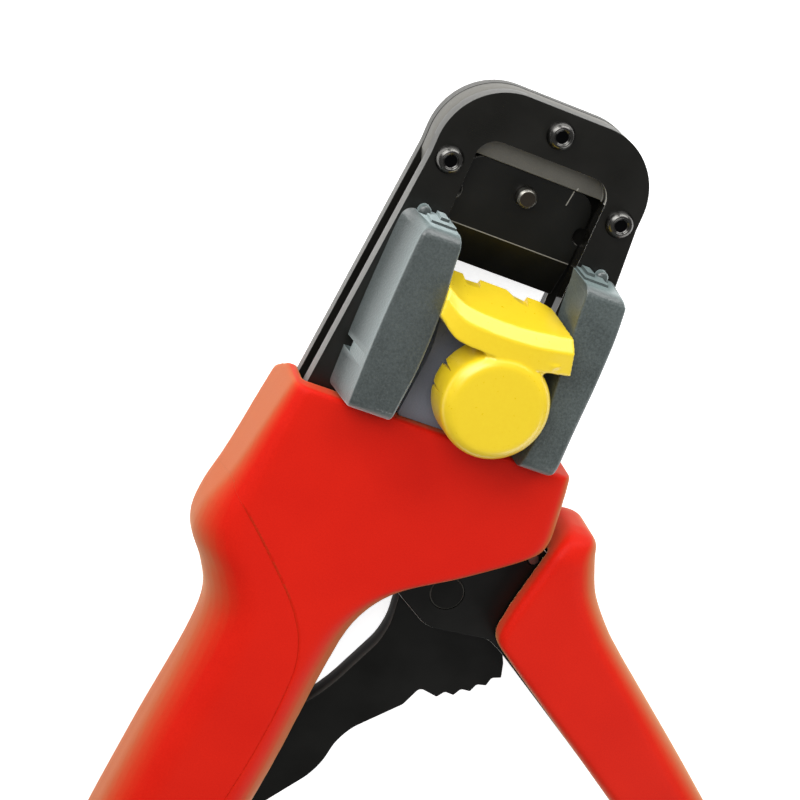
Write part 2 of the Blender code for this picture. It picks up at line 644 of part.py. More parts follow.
def make_return_spring(handle, steel):
    start = Vector((*SPRING_FRAME, MIDDLE))
    end = Vector((*SPRING_LEVER, MIDDLE))
    along = (end - start).normalized()
    reach = SPRING_PIN + PLAY + SPRING_WIRE / 2
    first = start + along * (reach + 1.8)
    last = end - along * (reach + 1.8)
    across = Vector((-along.y, along.x, 0))

    def hook(centre, way):
        turns = [math.radians(angle) for angle in range(-150, 91, 30)]
        return [centre + reach * (math.cos(turn) * way * along + math.sin(turn) * across) for turn in turns]

    body = coil(first, last, SPRING_COIL, 11, 8)
    path = hook(start, -1) + body + hook(end, 1)[::-1]
    wire_piece("return_spring", path, SPRING_WIRE, steel, handle, 0)


def cover_ring(inner, outer, half, inner_corner, outer_corner, steps=4):
    """Rounded section between two points of the outline, as thick as half on each side."""
    inner = Vector(inner)
    outer = Vector(outer)
    across = (outer - inner)
    width = across.length
    across.normalize()
    corners = ((width, 1, outer_corner, 0), (0, 1, inner_corner, 90),
               (0, -1, inner_corner, 180), (width, -1, outer_corner, 270))
    ring = []
    for edge, way, radius, start in corners:
        inset = radius if edge == 0 else -radius
        for turn in range(steps + 1):
            angle = math.radians(start + 90 * turn / steps)
            along = edge + inset + radius * math.cos(angle)
            rise = way * (half - radius) + radius * math.sin(angle)
            place = inner + across * along
            ring.append((place.x, place.y, COVER_MIDDLE + rise))
    return ring


def cover_rings(stations, steps):
    return [cover_ring(row[0:2], row[2:4], row[4], row[5], row[6]) for row in smooth(stations, steps)]


def body_stations():
    """Left edge, right edge, half thickness and corner radii, from the top lip to the grip's end."""
    half = COVER_HALF
    top = COVER_TOP
    return [
        (-29.4, top + 0.0, 29.7, top + 0.0, half - 0.9, 3.0, 2.4),
        (-30.2, top - 0.9, 30.5, top - 0.9, half, 3.6, 2.8),
        (-31.7, -60.0, 31.9, -60.0, half, 4.5, 3.0),
        (-34.2, -72.0, 32.3, -66.0, half, 5.0, 3.0),
        (-36.3, -81.8, 29.8, -69.8, half, 5.5, 3.0),
        (-35.8, -88.2, 19.6, -77.6, half, 6.0, 3.8),
        (-31.3, -94.4, 8.2, -85.4, half, 7.0, 5.0),
        (-27.8, -101.6, 2.4, -95.0, half, 8.0, 6.5),
        (-27.6, -112.2, 0.6, -109.0, half, 8.5, 7.0),
        (-29.8, -133.0, -1.0, -131.0, half, 8.5, 7.0),
        (-32.0, -156.0, -3.8, -156.0, half, 8.5, 7.0),
        (-33.0, -174.0, -6.8, -175.0, half, 8.5, 7.0),
        (-32.0, -183.5, -9.6, -184.5, half, 8.0, 7.0),
        (-29.2, -188.0, -13.6, -188.6, half - 2.0, 6.0, 6.0),
        (-25.4, -189.8, -17.5, -190.0, half - 5.5, 2.5, 2.5),
    ]


def seam_line(shift):
    """Seam between the body cover and the fixed grip, seen from the front."""
    points = smooth([(-50.0, -64.0), (-35.2, -71.6), (-31.6, -76.0), (-21.5, -85.4), (-12.0, -95.4),
                     (-7.6, -104.0), (-6.8, -114.0), (-8.0, -130.0), (-11.4, -152.0), (-14.6, -170.0),
                     (-16.6, -198.0)], 3)
    return [(point.x + shift[0], point.y + shift[1]) for point in points]


def fixed_cavity():
    """Space for the plates, the toggle and the link inside the fixed covers."""
    tang_left = LINK_PIVOT.x - TANG_WIDTH / 2 - PLAY
    tang_right = LINK_PIVOT.x + TANG_WIDTH / 2 + PLAY
    tang_end = LINK_PIVOT.y - LINK_BOSS - PLAY
    plate_side = side(RIGHT_LEG_END) + PLAY
    return [(-plate_side, COVER_TOP + 8), (-plate_side - 0.2, -60.0), (-26.6, -91.0),
            (tang_left, -104.6), (tang_left, tang_end), (tang_right, tang_end),
            (tang_right, -158.0), (12.0, -146.0), (45.0, -120.0), (45.0, -63.5),
            (30.0, -60.0), (plate_side, -57.0), (plate_side, COVER_TOP + 8)]


def make_fixed_covers(root, red):
    rings = cover_rings(body_stations(), 2)
    low = BACK - PLAY
    body = finish("body_cover", lofted_mesh(rings), red, root, 50)
    grip = finish("fixed_grip", lofted_mesh(rings), red, root, 50)
    cavity = helper("fixed_cavity", flat_mesh(fixed_cavity(), low, PLAY), root)
    outside = [(-60.0, -200.0), (-60.0, -64.0)]
    region = flat_mesh(seam_line((0.0, 0.0)) + outside, -40, 40)
    combine(body, cavity, "DIFFERENCE")
    combine(body, helper("grip_region", region, root), "DIFFERENCE")
    past = COVER_TOP + 5
    behind = COVER_MIDDLE - COVER_HALF - 2
    fallen = COVER_TOP - (RIM_BREAK - behind) * RIM_FALL
    section = [(past, RIM_BREAK), (COVER_TOP + PLAY, RIM_BREAK), (fallen, behind), (past, behind)]
    rim = lofted_mesh([[(x, y, z) for y, z in section] for x in (-2 * CUT, 2 * CUT)])
    combine(body, helper("rim_slope", rim, root), "DIFFERENCE")
    inner_region = flat_mesh(seam_line((-0.32, -0.2)) + outside, -40, 40)
    combine(grip, cavity, "DIFFERENCE")
    combine(grip, helper("grip_side", inner_region, root), "INTERSECT")


def handle_stations():
    """Inner edge, outer edge, half thickness and corner radii of the moving handle's cover."""
    half = COVER_HALF
    return [
        (36.0, -62.2, 39.6, -61.2, half - 3.5, 1.6, 1.6),
        (35.0, -63.8, 41.9, -63.0, half - 1.0, 1.5, 3.0),
        (33.8, -67.5, 43.6, -66.6, half, 1.5, 5.0),
        (32.5, -74.5, 48.0, -73.6, half, 1.5, 6.0),
        (31.0, -83.0, 53.6, -80.0, half, 1.5, 6.5),
        (31.0, -88.4, 58.4, -84.2, half, 1.5, 6.5),
        (34.6, -91.6, 63.4, -88.2, half, 1.5, 6.5),
        (46.0, -99.4, 71.6, -94.6, half, 2.0, 6.5),
        (64.0, -111.6, 84.4, -104.7, half, 2.5, 6.5),
        (84.0, -125.4, 99.6, -117.2, half, 3.5, 6.0),
        (97.6, -135.2, 110.4, -126.6, half, 4.0, 5.5),
        (103.2, -139.8, 114.4, -131.6, half - 1.5, 4.5, 5.0),
        (107.6, -140.4, 114.6, -135.4, half - 5.0, 2.5, 2.5),
    ]


def make_moving_cover(handle, red):
    cover = finish("moving_handle_cover", lofted_mesh(cover_rings(handle_stations(), 2)), red, handle, 50)
    channel = [(20.0, -63.0), (36.4, -63.0), (40.0, -66.4), (45.8, -75.2), (56.4, -85.6),
               (93.2, -114.2), (86.6, -127.0), (60.0, -118.0), (20.0, -95.0)]
    channel_mesh = flat_mesh(channel, BACK - PLAY, PLAY)
    combine(cover, helper("handle_channel", channel_mesh, handle), "DIFFERENCE")


def make_locator(root, clamp, grey, yellow, steel):
    foot = PLAY
    top = -11.2
    bottom = COVER_TOP + PLAY
    outer = HEAD_HALF
    left = rounded([(-outer, bottom, 1.0), (-outer, top, 3.0), (-13.0, top + 0.5, 1.2),
                    (-11.2, -28.0, 20.0), (-11.2, bottom, 1.0)])
    cheek = cheek_piece("locator_left_cheek", left, foot, -outer, grey, root)
    notch = box_mesh((-outer - 2, NOTCH_LOW, -1), (-outer + 1.2, NOTCH_LOW + 2.2, 3.6))
    combine(cheek, helper("cheek_notch", notch, root), "DIFFERENCE")
    right = rounded([(15.8, bottom, 1.0), (17.2, -40.0, 20.0), (15.6, -29.0, 8.0), (13.3, top + 0.3, 1.0),
                     (outer - 2.6, top + 0.6, 1.5), (outer + 1.2, top - 1.8, 1.6),
                     (outer + 2.4, bottom + 3.0, 1.2), (outer + 0.6, bottom, 1.0)])
    cheek_piece("locator_right_cheek", right, foot, outer + 1.8, grey, root)

    base = rounded([(-9.8, bottom, 0.6), (15.4, bottom, 0.6), (16.6, -40.0, 6.0), (15.0, -29.0, 3.0),
                    (14.6, -27.0, 0.6), (-9.6, -27.0, 1.0), (-8.6, -36.0, 16.0)])
    plate = flat_piece("locator_base", base, foot, BASE_RISE, grey, root)
    pivot = (KNOB_CENTRE.x, CLAMP_PIVOT_Y, CLAMP_PIVOT_Z)
    ear = arc((CLAMP_PIVOT_Y, CLAMP_PIVOT_Z), EAR_RADIUS, 0, 180, 9)
    ear += [(CLAMP_PIVOT_Y - EAR_RADIUS, BASE_RISE - 1), (CLAMP_PIVOT_Y + EAR_RADIUS, BASE_RISE - 1)]
    for middle in (pivot[0] - EAR_REACH, pivot[0] + EAR_REACH):
        rings = [[(x, y, z) for y, z in ear] for x in (middle - EAR_HALF, middle + EAR_HALF)]
        combine(plate, helper("ear", lofted_mesh(rings), root), "UNION")
    hole = CLAMP_PIN + PLAY
    bore = turned_piece("ear_bore", [(0, -CUT), (hole, -CUT), (hole, CUT), (0, CUT)], pivot, steel,
                        root, 12, along_x=True)
    bore.hide_render = True
    bore.display_type = "WIRE"
    combine(plate, bore, "DIFFERENCE")
    reach = EAR_REACH + EAR_HALF + 0.2
    turned_piece("clamp_pin", [(0, -reach), (CLAMP_PIN, -reach), (CLAMP_PIN, reach), (0, reach)], pivot,
                 steel, root, 12, along_x=True)
    make_clamp(clamp, yellow, bore)
    place = (KNOB_CENTRE.x, KNOB_CENTRE.y - 5.0)
    reach = PLAY + CLAMP_WIRE * 2 / 3
    path = coil((*place, BASE_RISE + reach), (*place, KNOB_BOTTOM - reach), CLAMP_COIL, 3, 10)
    wire_piece("clamp_spring", path, CLAMP_WIRE, steel, clamp, 0)


def cheek_piece(name, outline, foot, outer, grey, root):
    """Cheek that leans in a little towards its front face."""
    mesh = flat_mesh(outline, foot, LOCATOR_RISE)
    for vert in mesh.verts:
        if vert.co.z > foot + 1 and abs(vert.co.x - outer) < 2.2:
            vert.co.x -= math.copysign(1.0, outer)
    made = finish(name, mesh, grey, root)
    soften(made, 1.0, angle=60.0)
    stud = (math.copysign(STUD.x, outer), STUD.y)
    pocket = flat_mesh(circle(stud, STUD_RADIUS + PLAY, 16), -1, STUD_RISE + PLAY)
    combine(made, helper("stud_pocket", pocket, root), "DIFFERENCE")
    return made


def make_clamp(clamp, yellow, bore):
    """Rocking clamp: a round knob and a notched wedge head on one moulding."""
    knob_rim = arc((KNOB_RADIUS - 0.4 - KNOB_RIM, KNOB_TOP - KNOB_RIM), KNOB_RIM, 0, 90, 5)
    profile = [(0, KNOB_BOTTOM), (KNOB_RADIUS, KNOB_BOTTOM), *knob_rim, (0, KNOB_TOP)]
    knob = turned_piece("contact_clamp", profile, (*KNOB_CENTRE, 0), yellow, clamp, 36)
    head = helper("clamp_head", lofted_mesh(HEAD_SECTIONS), clamp)
    neck = helper("clamp_neck", box_mesh((-2.5, -36, 8.6), (11.0, -26, 16.2)), clamp)
    lug = helper("clamp_lug", box_mesh((1.8, -33.2, 3.8), (8.6, -29.8, 9.5)), clamp)
    for piece in (head, neck, lug):
        combine(knob, piece, "UNION")
    for x, width in HEAD_NOTCHES:
        notch = box_mesh((x, HEAD_EDGE - 1.1, 0), (x + width, HEAD_EDGE + 3, 8))
        combine(knob, helper("clamp_notch", notch, clamp), "DIFFERENCE")
    for angle in KNOB_SLOTS:
        outer = [polar(KNOB_CENTRE, KNOB_RADIUS + 1, angle + side_angle) for side_angle in (-6, 6)]
        slot = flat_mesh([polar(KNOB_CENTRE, KNOB_RADIUS - 1.6, angle), *outer], 0, KNOB_TOP - 4.5)
        combine(knob, helper("knob_slot", slot, clamp), "DIFFERENCE")
    combine(knob, bore, "DIFFERENCE")
    return knob


def stand_on_floor(root):
    """Move the tool so that the bottom centre of its box is the origin."""
    bpy.context.view_layer.update()
    graph = bpy.context.evaluated_depsgraph_get()
    corners = []
    for item in bpy.context.scene.objects:
        if item.type == "EMPTY" or item.hide_render:
            continue
        shape = item.evaluated_get(graph)
        places = [shape.matrix_world @ vert.co for vert in shape.to_mesh().vertices]
        shape.to_mesh_clear()
        corners.append([min(place[axis] for place in places) for axis in range(3)])
        corners.append([max(place[axis] for place in places) for axis in range(3)])
    low = [min(corner[axis] for corner in corners) for axis in range(3)]
    high = [max(corner[axis] for corner in corners) for axis in range(3)]
    root.location = (-(low[0] + high[0]) / 2, -(low[1] + high[1]) / 2, -low[2])


def build():
    clear_scene()
    black = material("black_oxide", (0.035, 0.036, 0.037), 0.42, 0.75)
    steel = material("steel", (0.55, 0.55, 0.54), 0.32, 1.0)
    red = material("red_moulding", (0.72, 0.035, 0.012), 0.45)
    grey = material("grey_moulding", (0.12, 0.15, 0.17), 0.55)
    yellow = material("yellow_moulding", (0.93, 0.68, 0.02), 0.38)

    root = empty("tool", 0, 0, 0, None)
    ram = empty("ram_axis", *RAM_PIVOT, MIDDLE, root)
    link = empty("link_axis", *LINK_PIVOT, MIDDLE, root)
    handle = empty("handle_axis", *KNEE, MIDDLE, link)
    pawl_place = polar(KNEE, PAWL_PIVOT_REACH, PAWL_PIVOT_ANGLE)
    pawl = empty("pawl_axis", *pawl_place, MIDDLE, handle)
    clamp = empty("clamp_axis", KNOB_CENTRE.x, CLAMP_PIVOT_Y, CLAMP_PIVOT_Z, root)

    make_frame(root, black, steel)
    make_dies(root, ram, black, steel)
    make_levers(handle, black, steel)
    make_link(link, black)
    make_pawl(pawl, handle, steel)
    make_return_spring(handle, steel)
    make_fixed_covers(root, red)
    make_moving_cover(handle, red)
    make_locator(root, clamp, grey, yellow, steel)
    stand_on_floor(root)


build()
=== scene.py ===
import json
import math

import bmesh
import bpy
from mathutils import Matrix, Vector


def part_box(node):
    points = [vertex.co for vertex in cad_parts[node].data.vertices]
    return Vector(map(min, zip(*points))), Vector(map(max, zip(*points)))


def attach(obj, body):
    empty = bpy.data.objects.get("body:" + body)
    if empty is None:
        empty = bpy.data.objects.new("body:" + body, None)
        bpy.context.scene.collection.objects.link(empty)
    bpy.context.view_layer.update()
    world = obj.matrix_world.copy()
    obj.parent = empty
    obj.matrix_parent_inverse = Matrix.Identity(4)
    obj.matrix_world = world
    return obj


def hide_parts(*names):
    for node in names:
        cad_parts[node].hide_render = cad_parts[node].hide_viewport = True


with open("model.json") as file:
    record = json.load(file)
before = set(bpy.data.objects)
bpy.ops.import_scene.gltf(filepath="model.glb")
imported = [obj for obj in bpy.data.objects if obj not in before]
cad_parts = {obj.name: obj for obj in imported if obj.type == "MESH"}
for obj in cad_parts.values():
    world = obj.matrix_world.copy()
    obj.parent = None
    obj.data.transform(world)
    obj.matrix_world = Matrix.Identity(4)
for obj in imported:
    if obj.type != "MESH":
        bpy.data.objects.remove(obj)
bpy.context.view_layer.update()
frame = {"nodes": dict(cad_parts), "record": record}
mm = 0.001
headTop = 16.6  # from the side rivets' line to the end of the head

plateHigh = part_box("frame_plate_front")[1]
rivetLow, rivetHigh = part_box("head_rivet_top")
toolOrigin = Vector(((rivetLow.x + rivetHigh.x) / 2, plateHigh.y - headTop * mm, plateHigh.z))
toWorld = Matrix.Translation(toolOrigin) @ Matrix.Scale(mm, 4)
bodyOf = {node: body for body, nodes in frame["record"]["behaviour"]["bodies"].items() for node in nodes}


# Shader maths: a Wire is a socket that can be used in sums, a Look is one material

class Wire:
    def __init__(self, look, socket):
        self.look = look
        self.socket = socket

    def __add__(self, other):
        return self.look.sum("ADD", self, other)

    def __sub__(self, other):
        return self.look.sum("SUBTRACT", self, other)

    def __mul__(self, other):
        return self.look.sum("MULTIPLY", self, other)

    def __truediv__(self, other):
        return self.look.sum("DIVIDE", self, other)

    def __rsub__(self, other):
        return self.look.sum("SUBTRACT", other, self)

    __radd__ = __add__
    __rmul__ = __mul__


class Look:
    def __init__(self, name, **fixed):
        self.material = bpy.data.materials.new(name)
        self.material.use_nodes = True
        self.tree = self.material.node_tree
        self.shader = self.tree.nodes["Principled BSDF"]
        for socket, value in fixed.items():
            self.shader.inputs[socket.replace("_", " ")].default_value = value
        self.place = self.node("ShaderNodeTexCoord", {}, {}, "Object")

    def node(self, kind, settings, inputs, output=0):
        made = self.tree.nodes.new(kind)
        stops = settings.pop("stops", None)
        for key, value in settings.items():
            setattr(made, key, value)
        if stops:
            ramp = made.color_ramp.elements
            while len(ramp) < len(stops):
                ramp.new(0.5)
            for element, (position, colour) in zip(ramp, stops):
                element.position = position
                element.color = colour
        for key, value in inputs.items():
            self.plug(made.inputs[key], value)
        return Wire(self, made.outputs[output])

    def plug(self, socket, value):
        if isinstance(value, Wire):
            self.tree.links.new(value.socket, socket)
        else:
            socket.default_value = value

    def sum(self, operation, first, second=0.0):
        return self.node("ShaderNodeMath", {"operation": operation}, {0: first, 1: second})

    def noise(self, perMillimetre, detail=3.0, roughness=0.5):
        return self.node("ShaderNodeTexNoise", {},
                         {"Vector": self.place, "Scale": perMillimetre / mm, "Detail": detail,
                          "Roughness": roughness})

    def ramp(self, value, low, high):
        return self.node("ShaderNodeMapRange", {"clamp": True},
                         {"Value": value, "From Min": low, "From Max": high})

    def mix(self, factor, first, second):
        made = self.tree.nodes.new("ShaderNodeMix")
        made.data_type = "RGBA"
        self.plug(made.inputs[0], factor)
        self.plug(made.inputs[6], first)
        self.plug(made.inputs[7], second)
        return Wire(self, made.outputs[2])

    def bump(self, height, distance):
        return self.node("ShaderNodeBump", {},
                         {"Height": height, "Distance": distance * mm, "Strength": 1.0})

    def tipped(self, low, high):
        # how far a face leans: 0 where it lies level, 1 where it stands upright
        facing = self.node("ShaderNodeTexCoord", {}, {}, "Normal")
        level = self.sum("ABSOLUTE", self.part(facing, "Z"))
        return self.ramp(1.0 - level, low, high)

    def part(self, wire, axis):
        return self.node("ShaderNodeSeparateXYZ", {}, {"Vector": wire}, axis)

    def stroke(self, start, end, width):
        # a straight line on the tool from start to end, in millimetres
        x = self.part(self.place, "X") / mm - (toolOrigin.x / mm + start[0])
        y = self.part(self.place, "Y") / mm - (toolOrigin.y / mm + start[1])
        way = Vector(end) - Vector(start)
        along = self.sum("MINIMUM", (x * way.x + y * way.y) / way.length_squared, 1.0)
        along = self.sum("MAXIMUM", along, 0.0)
        offX = x - along * way.x
        offY = y - along * way.y
        distance = self.sum("SQRT", offX * offX + offY * offY)
        return self.ramp(distance, width * 0.6, width * 0.4)

    def set(self, **inputs):
        for key, value in inputs.items():
            self.plug(self.shader.inputs[key.replace("_", " ")], value)
        return self.material


def mouldedLook(name, colour, deep, grain, haze, paintedSheen=None):
    # injection moulding: fine spark-eroded grain, slightly uneven colour and a haze of its own colour at a
    #     # low angle. A paler base colour is also mixed in by the viewing angle: a painted sheen, which slides in
    #     # other views and the exported model loses it.
    look = Look(name, Specular_IOR_Level=grain["specular"], IOR=1.5, Sheen_Weight=grain["haze"],
                Sheen_Roughness=0.42, Sheen_Tint=(*haze, 1))
    patches = look.noise(0.05, 3.0)
    speckle = look.noise(grain["perMillimetre"], 2.0, 0.6)
    tone = look.ramp(patches * 0.5 + speckle * 0.5, 0.36, 0.64)
    height = look.noise(grain["perMillimetre"] * 0.8, 2.5, 0.6)
    base = look.mix(tone, (*deep, 1), (*colour, 1))
    if paintedSheen:
        # painted sheen: a paler colour mixed into the base colour where a face is seen at a low angle
        facing = look.node("ShaderNodeLayerWeight", {}, {"Blend": 0.5}, "Facing")
        share = look.ramp(facing, *paintedSheen["facing"])
        if "side" in paintedSheen:
            # the painted sheen only on faces that look sideways: to both sides, to the right, or not to the left
            sideways = look.part(look.node("ShaderNodeTexCoord", {}, {}, "Normal"), "X")
            share = share * look.ramp(look.sum(paintedSheen["side"], sideways), *paintedSheen["sideways"])
        base = look.mix(share, base, (*paintedSheen["colour"], 1))
    return look.set(Base_Color=base,
                    Roughness=speckle * 0.12 + grain["roughness"] - 0.06,
                    Normal=look.bump(height, grain["depth"]))


# where the stamped outline of the head begins, and how its bare walls, partly a painted reflection, fade towards
# the top
headEdge = {"x": (15.4, 15.8), "y": (8.6, 9.0), "fade": (-9.0, 1.0), "fadeShare": 0.42}
lineColour = (0.45, 0.44, 0.40, 1)


def oxideLook(name, colour, bare, roughness, wearAndHighlight=0.0, outline=False, lines=(), gloss=0.4):
    # black oxide on steel: dark and a little brown, rubbed bare on its broken edges; the bare colour there is also
    # a painted edge highlight
    look = Look(name, Specular_IOR_Level=gloss)
    smudge = look.noise(0.09, 4.0)
    fine = look.noise(3.0, 3.0, 0.6)
    stretched = look.node("ShaderNodeMapping", {}, {"Vector": look.place, "Scale": (0.25, 4.0, 1.0)})
    brushed = look.node("ShaderNodeTexNoise", {}, {"Vector": stretched, "Scale": 1.2 / mm, "Detail": 2.0})
    tone = look.ramp(smudge * 0.7 + fine * 0.3, 0.35, 0.65)
    base = look.mix(tone, (*[part * 0.7 for part in colour], 1), (*colour, 1))
    edgeWearAndHighlight, wallRoughness = None, look.tipped(0.5, 0.9) * 0.35
    if wearAndHighlight:
        # the rounded edges take the bare colour: rubbed steel and a painted edge highlight
        edgeWearAndHighlight = look.tipped(0.10, 0.16) * look.tipped(0.95, 0.80) * wearAndHighlight
    if outline:
        # the stamped outline of the head is bare steel and a painted reflection, the window's edge isn't; there
        # the bare edge line is made three times brighter, a painted highlight
        x = look.sum("ABSOLUTE", look.part(look.place, "X") / mm - toolOrigin.x / mm)
        y = look.part(look.place, "Y") / mm - toolOrigin.y / mm
        outside = look.sum("MAXIMUM", look.ramp(x, *headEdge["x"]), look.ramp(y, *headEdge["y"]))
        fade = look.ramp(y, *headEdge["fade"]) * headEdge["fadeShare"]
        walls = look.tipped(0.30, 0.70) * outside * (1.0 - fade)
        base = look.mix(walls, base, (*bare, 1))
        edgeWearAndHighlight = edgeWearAndHighlight * (1.0 - outside)
        bare = [part * 3.0 for part in bare]
        wallRoughness = look.tipped(0.5, 0.9) * (outside * 0.5 - 0.18)
    # lines in the bare colour along the tool: an index mark, and on the die a painted highlight along its shoulder
    for start, end, width in lines:
        line = look.stroke(start, end, width)
        edgeWearAndHighlight = look.sum("MAXIMUM", line, edgeWearAndHighlight) if edgeWearAndHighlight else line
    if edgeWearAndHighlight:
        base = look.mix(edgeWearAndHighlight, base, (*bare, 1))
    return look.set(Base_Color=base,
                    Roughness=look.ramp(smudge, 0.3, 0.7) * 0.12 + brushed * 0.06 + wallRoughness
                    + (roughness - 0.09),
                    Normal=look.bump(fine, 0.006))


def steelLook(name, colour, roughness, metallic=1.0, lines=(), dark=None, grainDepth=0.008):
    look = Look(name, Metallic=metallic)
    fine = look.noise(4.0, 3.0, 0.6)
    patches = look.noise(0.3, 3.0)
    tone = look.ramp(fine * 0.6 + patches * 0.4, 0.35, 0.65)
    base = look.mix(tone, (*[part * 0.8 for part in colour], 1), (*colour, 1))
    for start, end, width in lines:
        base = look.mix(look.stroke(start, end, width), base, lineColour)
    if dark:
        # level faces between two heights above the front plate keep their oxide
        z = look.part(look.place, "Z") / mm - toolOrigin.z / mm
        low, high = dark["levels"]
        level = (look.tipped(0.15, 0.05) * look.ramp(z, low - 0.1, low + 0.1)
                 * look.ramp(z, high + 0.1, high - 0.1))
        base = look.mix(level, base, (*dark["colour"], 1))
    return look.set(Base_Color=base,
                    Roughness=patches * 0.15 + (roughness - 0.07),
                    Normal=look.bump(fine, grainDepth))


indexLine = ((8.9, 3.0), (8.4, -1.0), 0.22)
# a painted highlight along the upper die's shoulder edge
shoulderHighlightLine = ((-14.0, -11.9), (14.0, -11.9), 0.20)
redTones = (0.67, 0.011, 0.003), (0.60, 0.007, 0.002)
redGrain = {"perMillimetre": 3.0, "depth": 0.020, "roughness": 0.52, "specular": 0.12, "haze": 0.40}
redHaze = (0.50, 0.52, 0.22)
# the red's painted sheen: a paler, more orange colour on faces that look sideways, seen at a low angle
redPaintedSheen = {"colour": (0.52, 0.088, 0.024), "facing": (0.09, 0.56), "side": "ABSOLUTE", "sideways": (0.25, 0.60)}
cheekGrain = {"perMillimetre": 2.4, "depth": 0.075, "roughness": 0.36, "specular": 1.0, "haze": 1.0}
cheekHaze = (0.8, 0.92, 0.93)
fineOxide = (0.0036, 0.0036, 0.0028)
paints = {
    "red": mouldedLook("redMoulding", *redTones, redGrain, redHaze, redPaintedSheen),
    # the moving handle's copy: more shader sheen, and its painted sheen only on faces that look to the right
    "redHandle": mouldedLook("redMouldingHandle", *redTones, dict(redGrain, haze=0.55), redHaze,
                             dict(redPaintedSheen, side="ADD")),
    # the cheeks' grey, with a paler painted sheen at low viewing angles
    "grey": mouldedLook("greyMoulding", (0.062, 0.077, 0.075), (0.024, 0.032, 0.031), cheekGrain, cheekHaze,
                        {"colour": (0.130, 0.178, 0.172), "facing": (0.20, 0.85)}),
    # a lighter copy of the grey for the right cheek, painted light; its painted sheen stays off faces looking
    # left, so the cheek's inner face keeps a painted shade
    "greyRight": mouldedLook("greyMouldingRightLit", (0.085, 0.106, 0.103), (0.034, 0.044, 0.043),
                             dict(cheekGrain, specular=0.8, haze=0.1), cheekHaze,
                             {"colour": (0.190, 0.250, 0.245), "facing": (0.20, 0.85), "side": "ADD",
                              "sideways": (-0.6, -0.2)}),
    # the base plate's grey, lighter and bluer than the cheeks: partly its own colour, partly painted light that
    # lifts the shadow it lies in
    "baseGreyLit": mouldedLook("greyMouldingBaseLit", (0.168, 0.180, 0.210), (0.142, 0.152, 0.180),
                            {"perMillimetre": 3.6, "depth": 0.020, "roughness": 0.46, "specular": 0.5,
                             "haze": 0.2},
                            (0.8, 0.9, 0.95)),
    "yellow": mouldedLook("yellowMoulding", (0.82, 0.60, 0.015), (0.80, 0.57, 0.013),
                          {"perMillimetre": 1.2, "depth": 0.002, "roughness": 0.30, "specular": 0.8,
                           "haze": 0.10},
                          (1.0, 0.85, 0.35)),
    # the head plates: the bare colour on rounded edges is rubbed steel and a painted edge highlight, and the pale
    # outline walls are bare steel and a painted reflection
    "oxide": oxideLook("blackOxide", (0.0065, 0.0062, 0.0048), (0.20, 0.198, 0.188), 0.33, 0.9, outline=True),
    # the bare colour on its rounded edges is rubbed steel and a painted edge highlight
    "dull": oxideLook("blackOxideFine", fineOxide, (0.10, 0.098, 0.088), 0.36, 0.7, gloss=0.22),
    # the lever plates' near-white bare colour on the rounded edges is mostly a painted edge highlight
    "lever": oxideLook("blackOxideLeverHighlit", fineOxide, (0.62, 0.61, 0.57), 0.36, 1.0, gloss=0.28),
    # the bare colour on its rounded edges is rubbed steel and a painted edge highlight; its shoulder line is a
    # painted highlight
    "die": oxideLook("blackOxideDie", (0.0040, 0.0040, 0.0030), (0.26, 0.25, 0.22), 0.36, 0.7,
                     lines=(indexLine, shoulderHighlightLine)),
    "plain": oxideLook("blackOxideInside", (0.0060, 0.0060, 0.0050), (0.030, 0.030, 0.026), 0.44),
    "rivet": steelLook("burnishedRivet", (0.135, 0.132, 0.125), 0.24,
                       dark={"colour": (0.012, 0.012, 0.013), "levels": (0.9, 1.5)}, grainDepth=0.002),
    "pin": steelLook("groundPin", (0.30, 0.29, 0.26), 0.36,
                     dark={"colour": (0.085, 0.072, 0.058), "levels": (-3.5, 0.0)}),
    "spacer": steelLook("bareSpacer", (0.145, 0.140, 0.123), 0.56, 0.35, lines=(indexLine,),
                        grainDepth=0.03),
    "steel": steelLook("turnedSteel", (0.26, 0.25, 0.23), 0.34),
}
print("finishes made:", len(paints))


# Modelling helpers

def roundedFace(bm, corners, z=0.0, step=6.0):
    # a flat face through (x, y, radius) corners, each rounded by a vertex bevel
    verts = [bm.verts.new((x, y, z)) for x, y, radius in corners]
    bm.faces.new(verts)
    turns = []
    for index, (x, y, radius) in enumerate(corners):
        here = Vector((x, y))
        before = Vector(corners[index - 1][:2]) - here
        after = Vector(corners[(index + 1) % len(corners)][:2]) - here
        turns.append(before.angle(after))
    for vert, (x, y, radius), opening in zip(verts, corners, turns):
        if radius <= 0 or opening > math.pi - 0.01:
            continue
        segments = max(2, round(math.degrees(math.pi - opening) / step))
        bmesh.ops.bevel(bm, geom=[vert], affect="VERTICES", offset=radius / math.tan(opening / 2),
                        offset_type="OFFSET", segments=segments, profile=0.5, material=-1,
                        clamp_overlap=False)
    return bm


def slab(corners, low, high, step=6.0):
    bm = roundedFace(bmesh.new(), corners, low, step)
    raised = bmesh.ops.extrude_face_region(bm, geom=bm.faces[:])["geom"]
    lifted = [item for item in raised if isinstance(item, bmesh.types.BMVert)]
    bmesh.ops.translate(bm, vec=(0, 0, high - low), verts=lifted)
    bmesh.ops.recalc_face_normals(bm, faces=bm.faces[:])
    return bm


def bridged(sections):
    # a closed skin over rows of points, each row going around the shape once
    bm = bmesh.new()
    previous = None
    for section in sections:
        face = bm.faces.new([bm.verts.new(point) for point in section])
        ring = face.edges[:]
        if previous:
            bmesh.ops.bridge_loops(bm, edges=previous + ring)
            bm.faces.remove(face)
        previous = ring
    bmesh.ops.contextual_create(bm, geom=previous)
    bmesh.ops.recalc_face_normals(bm, faces=bm.faces[:])
    return bm


